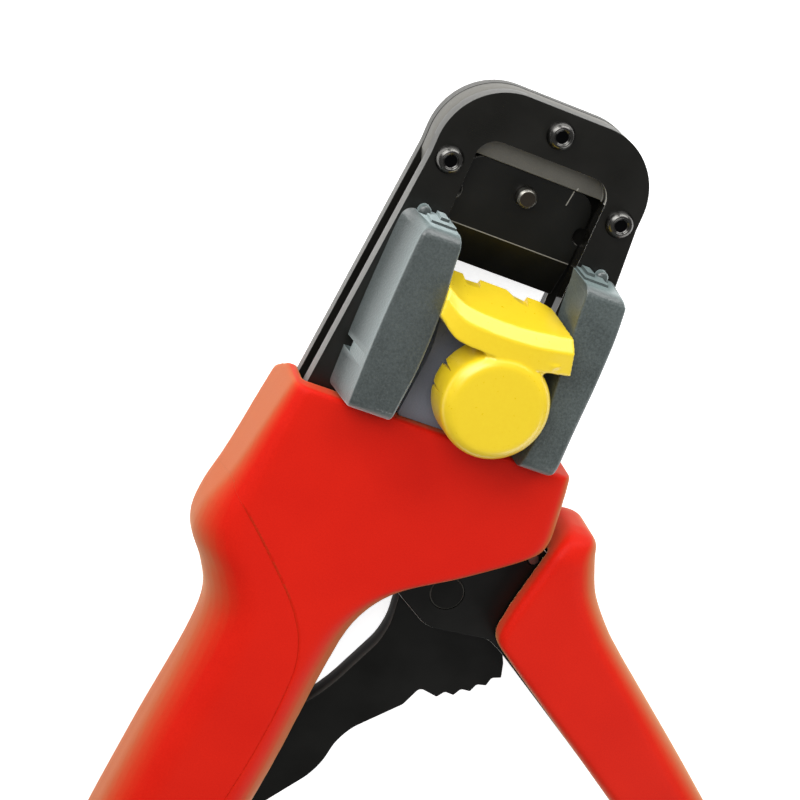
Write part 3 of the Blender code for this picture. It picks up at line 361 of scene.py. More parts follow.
def turned(profile, centre, steps=64, axis="Z"):
    # a turned shape from (radius, height) points
    bm = bmesh.new()
    verts = [bm.verts.new((radius, 0, height)) for radius, height in profile]
    edges = [bm.edges.new(pair) for pair in zip(verts, verts[1:])]
    bmesh.ops.spin(bm, geom=verts + edges, axis=(0, 0, 1), cent=(0, 0, 0), steps=steps,
                   angle=2 * math.pi, use_merge=True)
    bmesh.ops.remove_doubles(bm, verts=bm.verts[:], dist=0.0005)
    bmesh.ops.recalc_face_normals(bm, faces=bm.faces[:])
    if axis == "X":
        bm.transform(Matrix.Rotation(math.pi / 2, 4, "Y"))
    bm.transform(Matrix.Translation(Vector(centre)))
    return bm


def rod(centre, radius, low, high, steps=48):
    return turned([(0, low), (radius, low), (radius, high), (0, high)], (*centre, 0), steps)


def block(low, high):
    bm = bmesh.new()
    size = Vector(high) - Vector(low)
    bmesh.ops.create_cube(bm, size=1.0)
    bmesh.ops.scale(bm, vec=size, verts=bm.verts[:])
    bmesh.ops.translate(bm, vec=(Vector(high) + Vector(low)) / 2, verts=bm.verts[:])
    return bm


def objectFrom(bm, name):
    data = bpy.data.meshes.new(name)
    bm.to_mesh(data)
    bm.free()
    made = bpy.data.objects.new(name, data)
    bpy.context.scene.collection.objects.link(made)
    return made


def settle(item):
    # applies the modifiers of an object
    bpy.context.view_layer.update()
    graph = bpy.context.evaluated_depsgraph_get()
    data = bpy.data.meshes.new_from_object(item.evaluated_get(graph))
    item.modifiers.clear()
    item.data = data
    return item


def carve(item, bm, way="DIFFERENCE"):
    # cuts or joins a shape, in millimetres
    other = objectFrom(bm, "tool")
    cut = item.modifiers.new("carve", "BOOLEAN")
    cut.operation = way
    cut.solver = "EXACT"
    cut.object = other
    settle(item)
    bpy.data.objects.remove(other)
    return item


def melt(item, voxel, passes):
    # one skin over the joined shapes, with every edge a little rounded
    remesh = item.modifiers.new("skin", "REMESH")
    remesh.mode = "VOXEL"
    remesh.voxel_size = voxel
    smooth = item.modifiers.new("flow", "SMOOTH")
    smooth.factor = 0.5
    smooth.iterations = passes
    return settle(item)


def edges(item, width, angle=30.0):
    # rounded edges, in millimetres
    bevel = item.modifiers.new("edge", "BEVEL")
    bevel.width = width
    bevel.segments = 2
    bevel.limit_method = "ANGLE"
    bevel.angle_limit = math.radians(angle)
    bevel.use_clamp_overlap = True
    return settle(item)


def keep(item, paint, slotName, *nodes, smoothAngle=40.0, flats=((0, 0, 1),)):
    # the finished piece: shaded, sized, painted and riding on the body of the nodes it stands for
    item.data.shade_smooth()
    item.data.set_sharp_from_angle(angle=math.radians(smoothAngle))
    # the small faces of a moulded skin stay smooth even where they lie level
    leastArea = 0.5 if smoothAngle >= 60.0 else 0.0
    for face in item.data.polygons:
        level = face.area > leastArea and any(abs(face.normal.dot(Vector(way))) > 0.9995 for way in flats)
        face.use_smooth = not (level or len(face.vertices) > 8)
    item.data.transform(toWorld)
    item.data.materials.clear()
    item.data.materials.append(paints[paint])
    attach(item, bodyOf[nodes[0]])
    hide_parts(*nodes)
    return item


# Plates of the frame

plates = {
    "headHalf": 22.2, "headTop": headTop, "headCorner": 13.5, "flare": 0.09,
    "front": (-3.4, 0.0), "rear": (-11.0, -8.5),
    "windowHalf": 14.1, "windowTop": 6.6, "rearWindowTop": -6.0, "windowCorner": 4.2,
    "rightEnd": -56.0, "linkPivot": (-15.0, -158.0), "tang": 7.5, "boss": 7.0,
    "smallHoles": ((-20.5, -42.0), (20.5, -42.0), (19.5, -52.0)), "smallHole": 1.35,
    "pivotHole": 3.05, "rearPinHole": ((0.0, -2.3), 2.1), "edge": 0.24,
}
toolBack = plates["rear"][0]
throughCut = (-20, 10)  # the levels of a hole through the whole tool


def sideAt(y):
    return plates["headHalf"] - plates["flare"] * y


def plateCorners(windowTop):
    pivotX, pivotY = plates["linkPivot"]
    half, top, corner = plates["headHalf"], plates["headTop"], plates["headCorner"]
    windowHalf, end = plates["windowHalf"], plates["rightEnd"]
    tangEnd = pivotY - plates["boss"]
    left, right = pivotX - plates["tang"], pivotX + plates["tang"]
    return [(windowHalf, end, 1.5), (sideAt(end), end, 3.0), (half, 0.0, 0.0), (half, top, corner),
            (-half, top, corner), (-half, 0.0, 0.0), (-sideAt(end), end, 20.0), (-26.0, -90.0, 15.0),
            (left, -104.0, 15.0), (left, tangEnd, 6.5), (right, tangEnd, 6.5), (right, -104.0, 6.0),
            (-windowHalf, -92.0, 6.0), (-windowHalf, windowTop, plates["windowCorner"]),
            (windowHalf, windowTop, plates["windowCorner"])]


for name, levels, windowTop in (("front", plates["front"], plates["windowTop"]),
                                ("rear", plates["rear"], plates["rearWindowTop"])):
    plate = objectFrom(slab(plateCorners(windowTop), *levels, step=4.0), "sidePlate_" + name)
    for hole in plates["smallHoles"]:
        carve(plate, rod(hole, plates["smallHole"], *throughCut))
    carve(plate, rod(plates["linkPivot"], plates["pivotHole"], *throughCut))
    if name == "rear":
        carve(plate, rod(*plates["rearPinHole"], *throughCut))
    edges(plate, plates["edge"])
    keep(plate, "oxide", "black_oxide", "frame_plate_" + name, flats=((0, 0, 1), (1, 0, 0), (0, 1, 0)))
print("side plates made")

spacer = {"half": 22.1, "top": 16.5, "corner": 13.4, "dieHalf": 17.3, "dieTop": 2.45,
          "dieCorner": 3.2, "foot": -4.5, "footWidth": 3.5, "shoulder": -1.0, "levels": (-8.35, -3.44),
          "edge": 0.15}
spacerHalf, spacerTop, spacerCorner = spacer["half"], spacer["top"], spacer["corner"]
dieHalf, foot, footHalf = spacer["dieHalf"], spacer["foot"], spacer["dieHalf"] + spacer["footWidth"]
headSpacer = objectFrom(slab([
    (spacerHalf, spacer["shoulder"], 0.5), (spacerHalf, spacerTop, spacerCorner),
    (-spacerHalf, spacerTop, spacerCorner), (-spacerHalf, spacer["shoulder"], 0.5),
    (-footHalf, foot, 0.5), (-dieHalf, foot, 0.5),
    (-dieHalf, spacer["dieTop"], spacer["dieCorner"]), (dieHalf, spacer["dieTop"], spacer["dieCorner"]),
    (dieHalf, foot, 0.5), (footHalf, foot, 0.5)], *spacer["levels"], 4.0), "headSpacer")
edges(headSpacer, spacer["edge"])
keep(headSpacer, "spacer", "black_oxide", "head_spacer")

rivet = {"flange": 2.85, "rim": 1.9, "dish": 1.45, "dishDepth": 0.45, "rise": 1.75, "shank": 2.0, "gap": 0.02,
         "edge": 0.12}
flange, dish, rise, dishFloor = rivet["flange"], rivet["dish"], rivet["rise"], rivet["rise"] - rivet["dishDepth"]
frontButton = [(0.0, dishFloor), (dish - 0.15, dishFloor), (dish, rise - 0.3), (dish + 0.1, rise - 0.05),
               (rivet["rim"], rise), (2.2, rise - 0.2), (2.55, rise - 0.6), (flange - 0.1, 0.55), (flange, 0.3),
               (flange, rivet["gap"])]
backButton = [(radius, toolBack - height) for radius, height in reversed(frontButton)]
shank = [(rivet["shank"], rivet["gap"]), (rivet["shank"], toolBack - rivet["gap"])]
for name, place in (("left", (-18.4, 0.0)), ("right", (18.4, 0.0)), ("top", (0.0, 11.9))):
    button = objectFrom(turned(frontButton + shank + backButton, (*place, 0.0), 56), "headRivet_" + name)
    edges(button, rivet["edge"], 35.0)
    keep(button, "rivet", "black_oxide", "head_rivet_" + name)

studX, studY = 19.2, -10.8
studProfile = [(0.0, -3.4), (0.8, -3.4), (0.8, 0.3), (1.25, 0.3), (1.25, 1.75), (1.1, 2.0), (0.85, 2.15),
               (0.0, 2.2)]
for name, sign in (("left", -1), ("right", 1)):
    keep(objectFrom(turned(studProfile, (sign * studX, studY, 0.0), 36), "locatorStud_" + name), "grey",
         "steel", "locator_stud_" + name)
print("rivets and studs made")


# Dies: the upper one hangs in the head, the lower one rides on the ram

dies = {
    "half": 13.95, "top": 2.2, "corner": 4.0, "shoulder": -11.9, "nose": -19.3, "front": -4.4,
    "noseFront": -6.8, "back": -10.6, "lip": -8.3, "notchY": -5.9, "notch": 1.8, "edge": 0.12,
    "opening": 13.3, "height": 9.4, "lowerSlope": 3.5, "cutLevels": (-12, 0), "cutHalf": 20.0,
    "backCut": ((-20, -6.3, -12), (20, 8, -8.2)), "footCut": (5.6, -8.6),
    "pin": (0.0, -2.3), "pinHole": 2.08, "pinRadius": 2.0, "pinTip": 1.55, "pinRise": 2.2,
    "nests": ((-7.5, 1.7), (-1.5, 1.35), (4.0, 1.05), (8.6, 0.8)),
}


def dieSlope(shoulder, nose):
    # a thick wedge whose underside is the sloped face
    way = math.copysign(1.0, nose - shoulder)
    reach = nose + way * 4.0
    drop = (dies["front"] - dies["noseFront"]) * (reach - shoulder) / (nose - shoulder)
    bm = bmesh.new()
    corners = [(shoulder, dies["front"]), (reach, dies["front"] - drop), (reach, 4.0), (shoulder, 4.0)]
    side = bm.faces.new([bm.verts.new((-dies["cutHalf"], y, z)) for y, z in corners])
    swept = bmesh.ops.extrude_face_region(bm, geom=[side])["geom"]
    moved = [item for item in swept if isinstance(item, bmesh.types.BMVert)]
    bmesh.ops.translate(bm, vec=(2 * dies["cutHalf"], 0, 0), verts=moved)
    bmesh.ops.recalc_face_normals(bm, faces=bm.faces[:])
    return bm


upperDie = objectFrom(slab([(dies["half"], dies["nose"], 0.4), (dies["half"], dies["top"], dies["corner"]),
                            (-dies["half"], dies["top"], dies["corner"]), (-dies["half"], dies["nose"], 0.4)],
                           dies["back"], dies["front"], 5.0), "upperDie")
carve(upperDie, dieSlope(dies["shoulder"], dies["nose"]))
carve(upperDie, block(*dies["backCut"]))
carve(upperDie, rod(dies["pin"], dies["pinHole"], *dies["cutLevels"]))
for sign in (-1, 1):
    carve(upperDie, rod((sign * dies["half"], dies["notchY"]), dies["notch"], *dies["cutLevels"]))
for x, radius in dies["nests"]:
    carve(upperDie, rod((x, dies["nose"]), radius, dies["cutLevels"][0], dies["lip"]))
edges(upperDie, dies["edge"], 12.0)
slopeWay = Vector((0, dies["front"] - dies["noseFront"], dies["shoulder"] - dies["nose"])).normalized()
keep(upperDie, "die", "black_oxide", "upper_die", flats=((0, 0, 1), (0, -slopeWay.y, slopeWay.z)))

lowerNose = dies["nose"] - dies["opening"]
lowerEnd = lowerNose - dies["height"]
lowerDie = objectFrom(slab([(dies["half"], lowerEnd, 0.4), (dies["half"], lowerNose, 0.4),
                            (-dies["half"], lowerNose, 0.4), (-dies["half"], lowerEnd, 0.4)],
                           dies["back"], dies["front"]), "lowerDie")
carve(lowerDie, dieSlope(lowerNose - dies["lowerSlope"], lowerNose))
footRise, footLevel = dies["footCut"]
carve(lowerDie, block((-dies["cutHalf"], lowerEnd - 1, dies["cutLevels"][0]),
                      (dies["cutHalf"], lowerEnd + footRise, footLevel)))
for x, radius in dies["nests"]:
    carve(lowerDie, rod((x, lowerNose + radius * 0.5), radius, *dies["cutLevels"]))
edges(lowerDie, dies["edge"], 12.0)
keep(lowerDie, "dull", "black_oxide", "lower_die", smoothAngle=14.0,
     flats=((0, 0, 1), (0, slopeWay.y, slopeWay.z)))

pinTop, pinRadius = dies["front"] + dies["pinRise"], dies["pinRadius"]
diePin = objectFrom(turned([(0, toolBack), (pinRadius, toolBack), (pinRadius, pinTop - 0.45),
                            (dies["pinTip"], pinTop), (0, pinTop)], (*dies["pin"], 0), 48), "diePin")
edges(diePin, 0.1, 25.0)
keep(diePin, "pin", "steel", "upper_die_pin", smoothAngle=25.0)
print("dies made")


# Toggle: lever plates, toothed link and their pins

levers = {
    "outline": [(-6.5, -58.43, 6.3), (5.5, -58.43, 5.0), (30.5, -66.3, 4.0), (36.6, -70.2, 2.5),
                (45.2, -75.6, 6.0), (55.9, -86.0, 6.0), (92.0, -114.4, 3.0), (86.2, -126.4, 3.0),
                (34.0, -92.2, 2.0), (30.6, -90.5, 3.0), (17.0, -92.0, 6.5), (2.0, -83.0, 8.0),
                (-8.0, -71.0, 5.0)],
    "knee": (18.1, -83.6), "kneePin": 3.6, "kneeEdge": 0.25, "ramPin": ((0.0, -64.93), 3.05), "edge": 0.36,
    "pins": (((50.45, -91.07), 1.5), ((32.2, -70.9), 1.3), ((63.0, -99.5), 1.2), ((46.3, -80.2), 1.5),
             ((84.0, -116.5), 1.5)),
}
for name, levels in (("front", plates["front"]), ("rear", plates["rear"])):
    lever = objectFrom(slab(levers["outline"], *levels, step=5.0), "leverPlate_" + name)
    edges(lever, levers["edge"])
    carve(lever, rod(levers["knee"], levers["kneePin"] + 0.12, *throughCut, 72))
    carve(lever, rod(*levers["ramPin"], *throughCut))
    for place, radius in levers["pins"]:
        carve(lever, rod(place, radius + 0.06, *throughCut, 32))
    keep(lever, "lever", "black_oxide", "lever_plate_" + name)
kneeRadius, kneeEdge = levers["kneePin"], levers["kneeEdge"]
kneePin = objectFrom(turned([(0, toolBack), (kneeRadius - kneeEdge, toolBack), (kneeRadius, toolBack + kneeEdge),
                             (kneeRadius, -kneeEdge), (kneeRadius - kneeEdge, 0.0), (0, 0.0)],
                            (*levers["knee"], 0), 72), "kneePin")
keep(kneePin, "dull", "black_oxide", "knee_pin", smoothAngle=25.0)


def polar(centre, reach, angle):
    turn = math.radians(angle)
    return centre[0] + reach * math.cos(turn), centre[1] + reach * math.sin(turn)


link = {
    "levels": (-8.4, -3.5), "pivot": plates["linkPivot"], "boss": 7.0, "bossStart": 142, "bossEnd": 332,
    "tip": 25.5, "root": 24.45, "pitch": 8.05, "first": -69.6, "teeth": 5, "toothRound": 0.25,
    "rootRound": 0.8, "shoulder": 22.8,
    "lower": [(-4.5, -150.0, 8.0), (9.6, -131.0, 14.0), (11.0, -121.5, 12.0), (20.9, -111.3, 2.0),
              (22.8, -106.7, 1.2)],
    "upper": [(31.5, -85.0, 6.0), (26.5, -75.0, 9.0), (9.0, -75.0, 9.0), (10.2, -89.0, 10.0), (11.3, -97.3, 14.0),
              (4.2, -113.2, 30.0), (-13.4, -136.0, 30.0)],
    "edge": 0.16,
}
knee, pivot = levers["knee"], link["pivot"]
linkOutline = [(*polar(pivot, link["boss"], angle), 0.0)
               for angle in range(link["bossStart"], link["bossEnd"] + 1, 10)] + link["lower"]
for tooth in range(link["teeth"]):
    angle = link["first"] + tooth * link["pitch"]
    linkOutline.append((*polar(knee, link["tip"], angle), link["toothRound"]))
    if tooth < link["teeth"] - 1:
        linkOutline.append((*polar(knee, link["root"], angle + link["pitch"] / 2), link["rootRound"]))
shoulderAngle = link["first"] + link["teeth"] * link["pitch"] - 3
linkOutline.append((*polar(knee, link["shoulder"], shoulderAngle), 0.5))
linkArm = objectFrom(slab(linkOutline + link["upper"], *link["levels"], step=5.0), "linkArm")
carve(linkArm, rod(knee, levers["kneePin"] + 0.15, *throughCut, 72))
carve(linkArm, rod(pivot, 3.1, *throughCut))
edges(linkArm, link["edge"])
keep(linkArm, "dull", "black_oxide", "link_arm")

pawl = {"pivot": Vector(polar(knee, 33.2, -13.0)), "tip": Vector(polar(knee, 26.0, -15.5)), "tail": 1.4,
        "hole": 1.75, "edge": 0.15}
pawlPivot, pawlTip, tailHalf = pawl["pivot"], pawl["tip"], pawl["tail"]
pawlWay = (pawlTip - pawlPivot).normalized()
pawlSide = Vector((-pawlWay.y, pawlWay.x))
pawlTail = pawlPivot - pawlWay * 6.5 + pawlSide * 2.0
pawlCorners = [(pawlTip + pawlSide * 0.2, 0.15), (pawlTip - pawlWay * 2.2 + pawlSide * 1.7, 1.0),
               (pawlPivot + pawlSide * 3.4 - pawlWay * 2, 2.5), (pawlTail + pawlSide * tailHalf, 1.0),
               (pawlTail - pawlWay * tailHalf, 0.8), (pawlTail - pawlSide * tailHalf, 1.0),
               (pawlPivot - pawlSide * 3.4, 3.0), (pawlTip - pawlWay * 2.2 - pawlSide * 1.7, 1.0),
               (pawlTip - pawlSide * 0.2, 0.15)]
pawlPiece = objectFrom(slab([(*place, rounding) for place, rounding in pawlCorners], *link["levels"]),
                       "pawlPiece")
carve(pawlPiece, rod(pawlPivot, pawl["hole"], *throughCut))
edges(pawlPiece, pawl["edge"])
keep(pawlPiece, "steel", "steel", "pawl")
print("levers made")


# Moulded covers: rounded sections along the handle, joined into one skin

covers = {
    "half": 11.0, "middle": -5.5, "top": -50.5, "steps": 5, "voxel": 0.54, "cavityLevels": (-11.3, 0.3),
    "rimBreak": ((-50.2, -7.0), (-53.9, -14.5), (-60.0, -18.5)), "rimBreakHalf": 45.0,
    "seamGap": (0.02, 0.01), "seamLean": 0.19, "bead": (0.40, 0.20, 0.30),
}
half, top = covers["half"], covers["top"]
# the lower and the upper edge of every section, its half thickness and the rounding of both edges
fixedStations = [
    (-29.4, top, 29.7, top, half - 0.9, 3.0, 2.4),
    (-30.2, top - 0.9, 30.5, top - 0.9, half, 3.6, 2.8),
    (-31.7, -60.0, 31.9, -60.0, half, 4.2, 3.0),
    (-33.7, -72.0, 32.3, -66.0, half, 5.4, 3.0),
    (-36.2, -81.8, 29.8, -69.8, half, 8.0, 3.2),
    (-35.8, -88.2, 19.6, -77.6, half, 9.5, 4.5),
    (-31.3, -94.4, 8.2, -85.4, half, 9.8, 6.0),
    (-27.8, -101.6, 2.4, -95.0, half, 9.8, 7.0),
    (-27.6, -112.2, 0.6, -109.0, half, 9.5, 7.5),
    (-29.8, -133.0, -1.0, -131.0, half, 8.5, 7.0),
    (-32.0, -156.0, -3.8, -156.0, half, 8.5, 7.0),
    (-33.0, -174.0, -6.8, -175.0, half, 8.5, 7.0),
    (-32.0, -183.5, -9.6, -184.5, half, 8.0, 7.0),
    (-29.2, -188.0, -13.6, -188.6, half - 2.0, 6.0, 6.0),
    (-25.4, -189.8, -17.5, -190.0, half - 5.5, 2.5, 2.5),
]
handleStations = [
    (37.2, -61.7, 39.8, -61.3, half - 7.0, 1.0, 1.2),
    (36.4, -62.4, 41.4, -61.8, half - 3.6, 1.6, 2.4),
    (35.2, -64.0, 43.1, -63.2, half - 1.4, 1.8, 4.5),
    (33.9, -67.5, 44.5, -66.6, half - 0.2, 1.8, 6.5),
    (32.5, -74.5, 48.0, -73.6, half, 1.8, 7.0),
    (31.0, -83.0, 53.6, -80.0, half, 1.5, 6.5),
    (31.0, -88.4, 58.4, -84.2, half, 1.5, 6.5),
    (34.6, -91.6, 63.4, -88.2, half, 1.5, 6.5),
    (46.0, -99.4, 71.6, -94.6, half, 2.0, 6.5),
    (64.0, -111.6, 84.4, -104.7, half, 2.5, 6.5),
    (84.0, -125.4, 99.6, -117.2, half, 3.5, 6.0),
    (97.6, -135.2, 110.4, -126.6, half, 4.0, 5.5),
    (103.2, -139.8, 114.4, -131.6, half - 1.5, 4.5, 5.0),
    (107.6, -140.4, 114.6, -135.4, half - 5.0, 2.5, 2.5),
]


def flowing(rows, steps, curved=4):
    # Catmull-Rom through rows of numbers. Only the first ones curve, the others change evenly.
    rows = [Vector(row) for row in rows]
    rows = [2 * rows[0] - rows[1], *rows, 2 * rows[-1] - rows[-2]]
    flow = []
    for a, b, c, d in zip(rows, rows[1:], rows[2:], rows[3:]):
        for step in range(steps):
            t = step / steps
            point = 0.5 * (2 * b + (c - a) * t + (2 * a - 5 * b + 4 * c - d) * t**2
                           + (3 * b - a - 3 * c + d) * t**3)
            flow.append((*point[:curved], *b.lerp(c, t)[curved:]))
    return flow + [tuple(rows[-2])]


def coverSkin(stations):
    # a rounded rectangle at every station
    sections = []
    for row in flowing(stations, covers["steps"]):
        inner, outer = Vector(row[0:2]), Vector(row[2:4])
        across = outer - inner
        thick, innerRound, outerRound = row[4:7]
        section = roundedFace(bmesh.new(), [
            (0, -thick, innerRound), (across.length, -thick, outerRound), (across.length, thick, outerRound),
            (0, thick, innerRound)], 0.0, 11.25)
        turn = math.atan2(across.y, across.x)
        section.transform(Matrix.Translation((inner.x, inner.y, covers["middle"])) @ Matrix.Rotation(turn, 4, "Z")
                          @ Matrix.Rotation(math.pi / 2, 4, "X"))
        sections.append([vert.co.copy() for face in section.faces for vert in face.verts])
        section.free()
    return bridged(sections)


def linePrism(points, low, high):
    return slab([(x, y, 0.0) for x, y in points], low, high)


seamPoints = [(-50.0, -64.0), (-35.2, -71.6), (-31.6, -76.0), (-21.5, -85.4), (-12.0, -95.4), (-7.6, -104.0),
              (-6.8, -114.0), (-8.0, -130.0), (-11.4, -152.0), (-14.6, -170.0), (-16.6, -198.0)]
seam = [tuple(point) for point in flowing(seamPoints, 8, 2)]
plateSide = sideAt(plates["rightEnd"]) + 0.3
cavityLeft, cavityRight = plates["linkPivot"][0] - 7.8, plates["linkPivot"][0] + 7.8
cavityEnd = plates["linkPivot"][1] - 7.3
cavity = [(-plateSide, top + 8), (-plateSide - 0.2, -60.0), (-26.6, -91.0), (cavityLeft, -104.6),
          (cavityLeft, cavityEnd), (cavityRight, cavityEnd), (cavityRight, -158.0), (12.0, -146.0),
          (45.0, -120.0), (45.0, -63.5), (30.0, -60.0), (plateSide, -57.0), (plateSide, top + 8)]

bodyCover = objectFrom(coverSkin(fixedStations), "bodyCover")
carve(bodyCover, linePrism(cavity, *covers["cavityLevels"]))
# the cover's upper end slopes away behind the tool
rimBreak = covers["rimBreak"]
breakSide = [(top + 5, rimBreak[0][1]), *rimBreak, (top + 5, rimBreak[-1][1])]
carve(bodyCover, bridged([[(x, y, z) for y, z in breakSide]
                          for x in (-covers["rimBreakHalf"], covers["rimBreakHalf"])]))
melt(bodyCover, covers["voxel"], 3)
fixedGrip = objectFrom(bmesh.new(), "fixedGrip")
fixedGrip.data = bodyCover.data.copy()
outside = [(-70.0, -205.0), (-70.0, -58.0)]
coverFront = covers["middle"] + half
seamLean = covers["seamLean"]
seamTurn = Matrix(((1, 0, 0, 0), (0, 1, seamLean, -seamLean * coverFront), (0, 0, 1, 0), (0, 0, 0, 1)))


def seamPrism(shiftX, shiftY):
    # the seam runs a little towards the handle's end on its way to the back
    bm = linePrism([(x + shiftX, y + shiftY) for x, y in seam] + outside, -40, 40)
    bm.transform(seamTurn)
    return bm


carve(bodyCover, seamPrism(0.0, 0.0))
# the cover's front edge along the seam is broken
beadX, beadY, beadDeep = covers["bead"]
beadRows = []
for share in (-0.5, 0.0, 1.0, 1.5):
    level = coverFront - beadDeep * (1 - share)
    beadRows.append([(x + share * beadX, y + share * beadY, level) for x, y in seam]
                    + [(x, y, level) for x, y in outside])
carve(bodyCover, bridged(beadRows))
gapX, gapY = covers["seamGap"]
carve(fixedGrip, seamPrism(-gapX, -gapY), "INTERSECT")
for piece, node in ((bodyCover, "body_cover"), (fixedGrip, "fixed_grip")):
    print(node, "faces", len(piece.data.polygons))
    keep(piece, "red", "red_moulding", node, smoothAngle=70.0)

handle = objectFrom(coverSkin(handleStations), "movingHandleCover")
channel = [(20.0, -67.3), (33.0, -67.3), (37.2, -69.8), (45.8, -75.2), (56.4, -85.6), (93.2, -114.2),
           (86.6, -127.0), (60.0, -118.0), (20.0, -95.0)]
carve(handle, linePrism(channel, *covers["cavityLevels"]))
melt(handle, covers["voxel"], 7)
keep(handle, "redHandle", "red_moulding", "moving_handle_cover", smoothAngle=60.0)
print("covers made")


# Locator: two cheeks, the base plate and the yellow rocking clamp

locator = {"foot": 0.1, "rise": 12.0, "endRound": 2.2, "ridge": 0.65, "inner": 0.4, "tab": (0.5, 7.2),
           "nub": (1.1, 4.6), "studHole": 1.4, "edge": 0.1}
cheekShapes = {  # rows of y, the outer side's foot and the inner side, as distances from the tool's middle
    "left": {"paint": "grey", "lean": 1.9, "tab": (13.7, 18.9), "nub": (14.9, 16.6),
             "notch": ((-25.0, -41.2, -1.0), (-21.2, -39.0, 3.6)), "rows": (
        (-11.2, 20.9, 13.3), (-11.35, 21.5, 13.25), (-11.8, 22.2, 13.1), (-12.6, 22.75, 12.9),
        (-13.6, 22.95, 12.7), (-17.5, 23.1, 12.3), (-26.8, 23.2, 11.2), (-32.8, 23.2, 10.9),
        (-38.9, 23.1, 10.9), (-45.0, 22.9, 11.3), (-47.8, 22.8, 11.5), (-48.9, 22.7, 11.6),
        (-49.5, 22.4, 11.65), (-49.8, 21.9, 11.7))},
    # the right cheek takes the lighter grey copy: painted light, with a painted shade on its inner face
    "right": {"paint": "greyRight", "lean": 1.2, "tab": (13.9, 19.0), "nub": (14.9, 16.6), "rows": (
        (-11.2, 21.6, 13.5), (-11.35, 22.2, 13.55), (-11.8, 22.9, 13.65), (-12.6, 23.5, 13.8),
        (-13.6, 23.9, 13.95), (-20.3, 24.6, 14.6), (-29.5, 24.9, 15.7), (-34.0, 24.9, 16.3),
        (-40.0, 24.9, 16.9), (-46.0, 25.0, 16.6), (-48.0, 24.9, 16.4), (-49.1, 24.7, 16.3),
        (-49.7, 24.3, 16.25), (-50.0, 23.8, 16.2))},
}
for name, sign in (("left", -1), ("right", 1)):
    shape = cheekShapes[name]
    rows = flowing(shape["rows"], 5, 3)
    start, end = rows[0][0], rows[-1][0]
    sections = []
    for y, outer, inner in rows:
        # the crown falls away in a quarter circle at both ends
        inset = min(start - y, y - end, locator["endRound"])
        high = locator["rise"] - locator["endRound"] + math.sqrt(locator["endRound"] ** 2
                                                                 - (locator["endRound"] - inset) ** 2)
        ridge = outer - shape["lean"] * (high - locator["foot"]) / (locator["rise"] - locator["foot"])
        corner = (inner + locator["inner"], high - locator["inner"])
        shoulder = (ridge - locator["ridge"], high - locator["ridge"])
        section = [(inner, locator["foot"])]
        section += [polar(corner, locator["inner"], angle) for angle in (180, 150, 120, 90)]
        section += [polar(shoulder, locator["ridge"], angle) for angle in (90, 70, 50, 30, 10)]
        section += [(outer, locator["foot"])]
        sections.append([(sign * x, y, z) for x, z in section])
    cheek = objectFrom(bridged(sections), "locatorCheek_" + name)
    for piece in ("tab", "nub"):
        reach, high = locator[piece]
        near, far = sorted(sign * x for x in shape[piece])
        carve(cheek, block((near, start - 0.6, locator["foot"]), (far, start + reach, high)), "UNION")
    if "notch" in shape:
        carve(cheek, block(*shape["notch"]))
    carve(cheek, rod((sign * studX, studY), locator["studHole"], -1, 2.5))
    edges(cheek, locator["edge"], 35.0)
    keep(cheek, shape["paint"], "grey_moulding", f"locator_{name}_cheek", smoothAngle=35.0)

rocker = {"y": -31.5, "z": 5.1, "bore": 1.4}  # the clamp's pin
basePlate = {
    "outline": [(-8.3, -50.2, 0.6), (15.6, -50.2, 0.6), (16.5, -40.0, 6.0), (15.2, -29.0, 3.0),
                (14.8, -27.0, 0.6), (-8.4, -27.0, 1.0), (-7.1, -35.5, 20.0)],
    "levels": (0.1, 3.2), "ears": (0.0, 10.4), "earHalf": 1.4, "earRound": 1.8, "earFoot": 2.0, "edge": 0.25,
    "springSeat": ((5.2, -43.8), 3.7, 0.9, 6.0), "pinMark": (-5.1, -32.4), "markRadius": 1.3, "markLine": 0.12,
    "markDepth": 0.1,
}
base = objectFrom(slab(basePlate["outline"], *basePlate["levels"]), "locatorBase")
earHalf, earRound = basePlate["earHalf"], basePlate["earRound"]
for middle in basePlate["ears"]:
    carve(base, block((middle - earHalf, rocker["y"] - earRound, basePlate["earFoot"]),
                      (middle + earHalf, rocker["y"] + earRound, rocker["z"])), "UNION")
    carve(base, turned([(0, -earHalf), (earRound, -earHalf), (earRound, earHalf), (0, earHalf)],
                       (middle, rocker["y"], rocker["z"]), 32, "X"), "UNION")
edges(base, basePlate["edge"])
# the shallow seat of the clamp's spring, under the knob
carve(base, rod(*basePlate["springSeat"]))
# the ring that an ejector pin leaves in the moulding
markInner, markTop = basePlate["markRadius"], basePlate["levels"][1]
markOuter, markFloor = markInner + basePlate["markLine"], markTop - basePlate["markDepth"]
carve(base, turned([(markInner, markTop + 0.2), (markInner, markFloor), (markOuter, markFloor),
                    (markOuter, markTop + 0.2), (markInner, markTop + 0.2)], (*basePlate["pinMark"], 0), 48))
keep(base, "baseGreyLit", "grey_moulding", "locator_base")

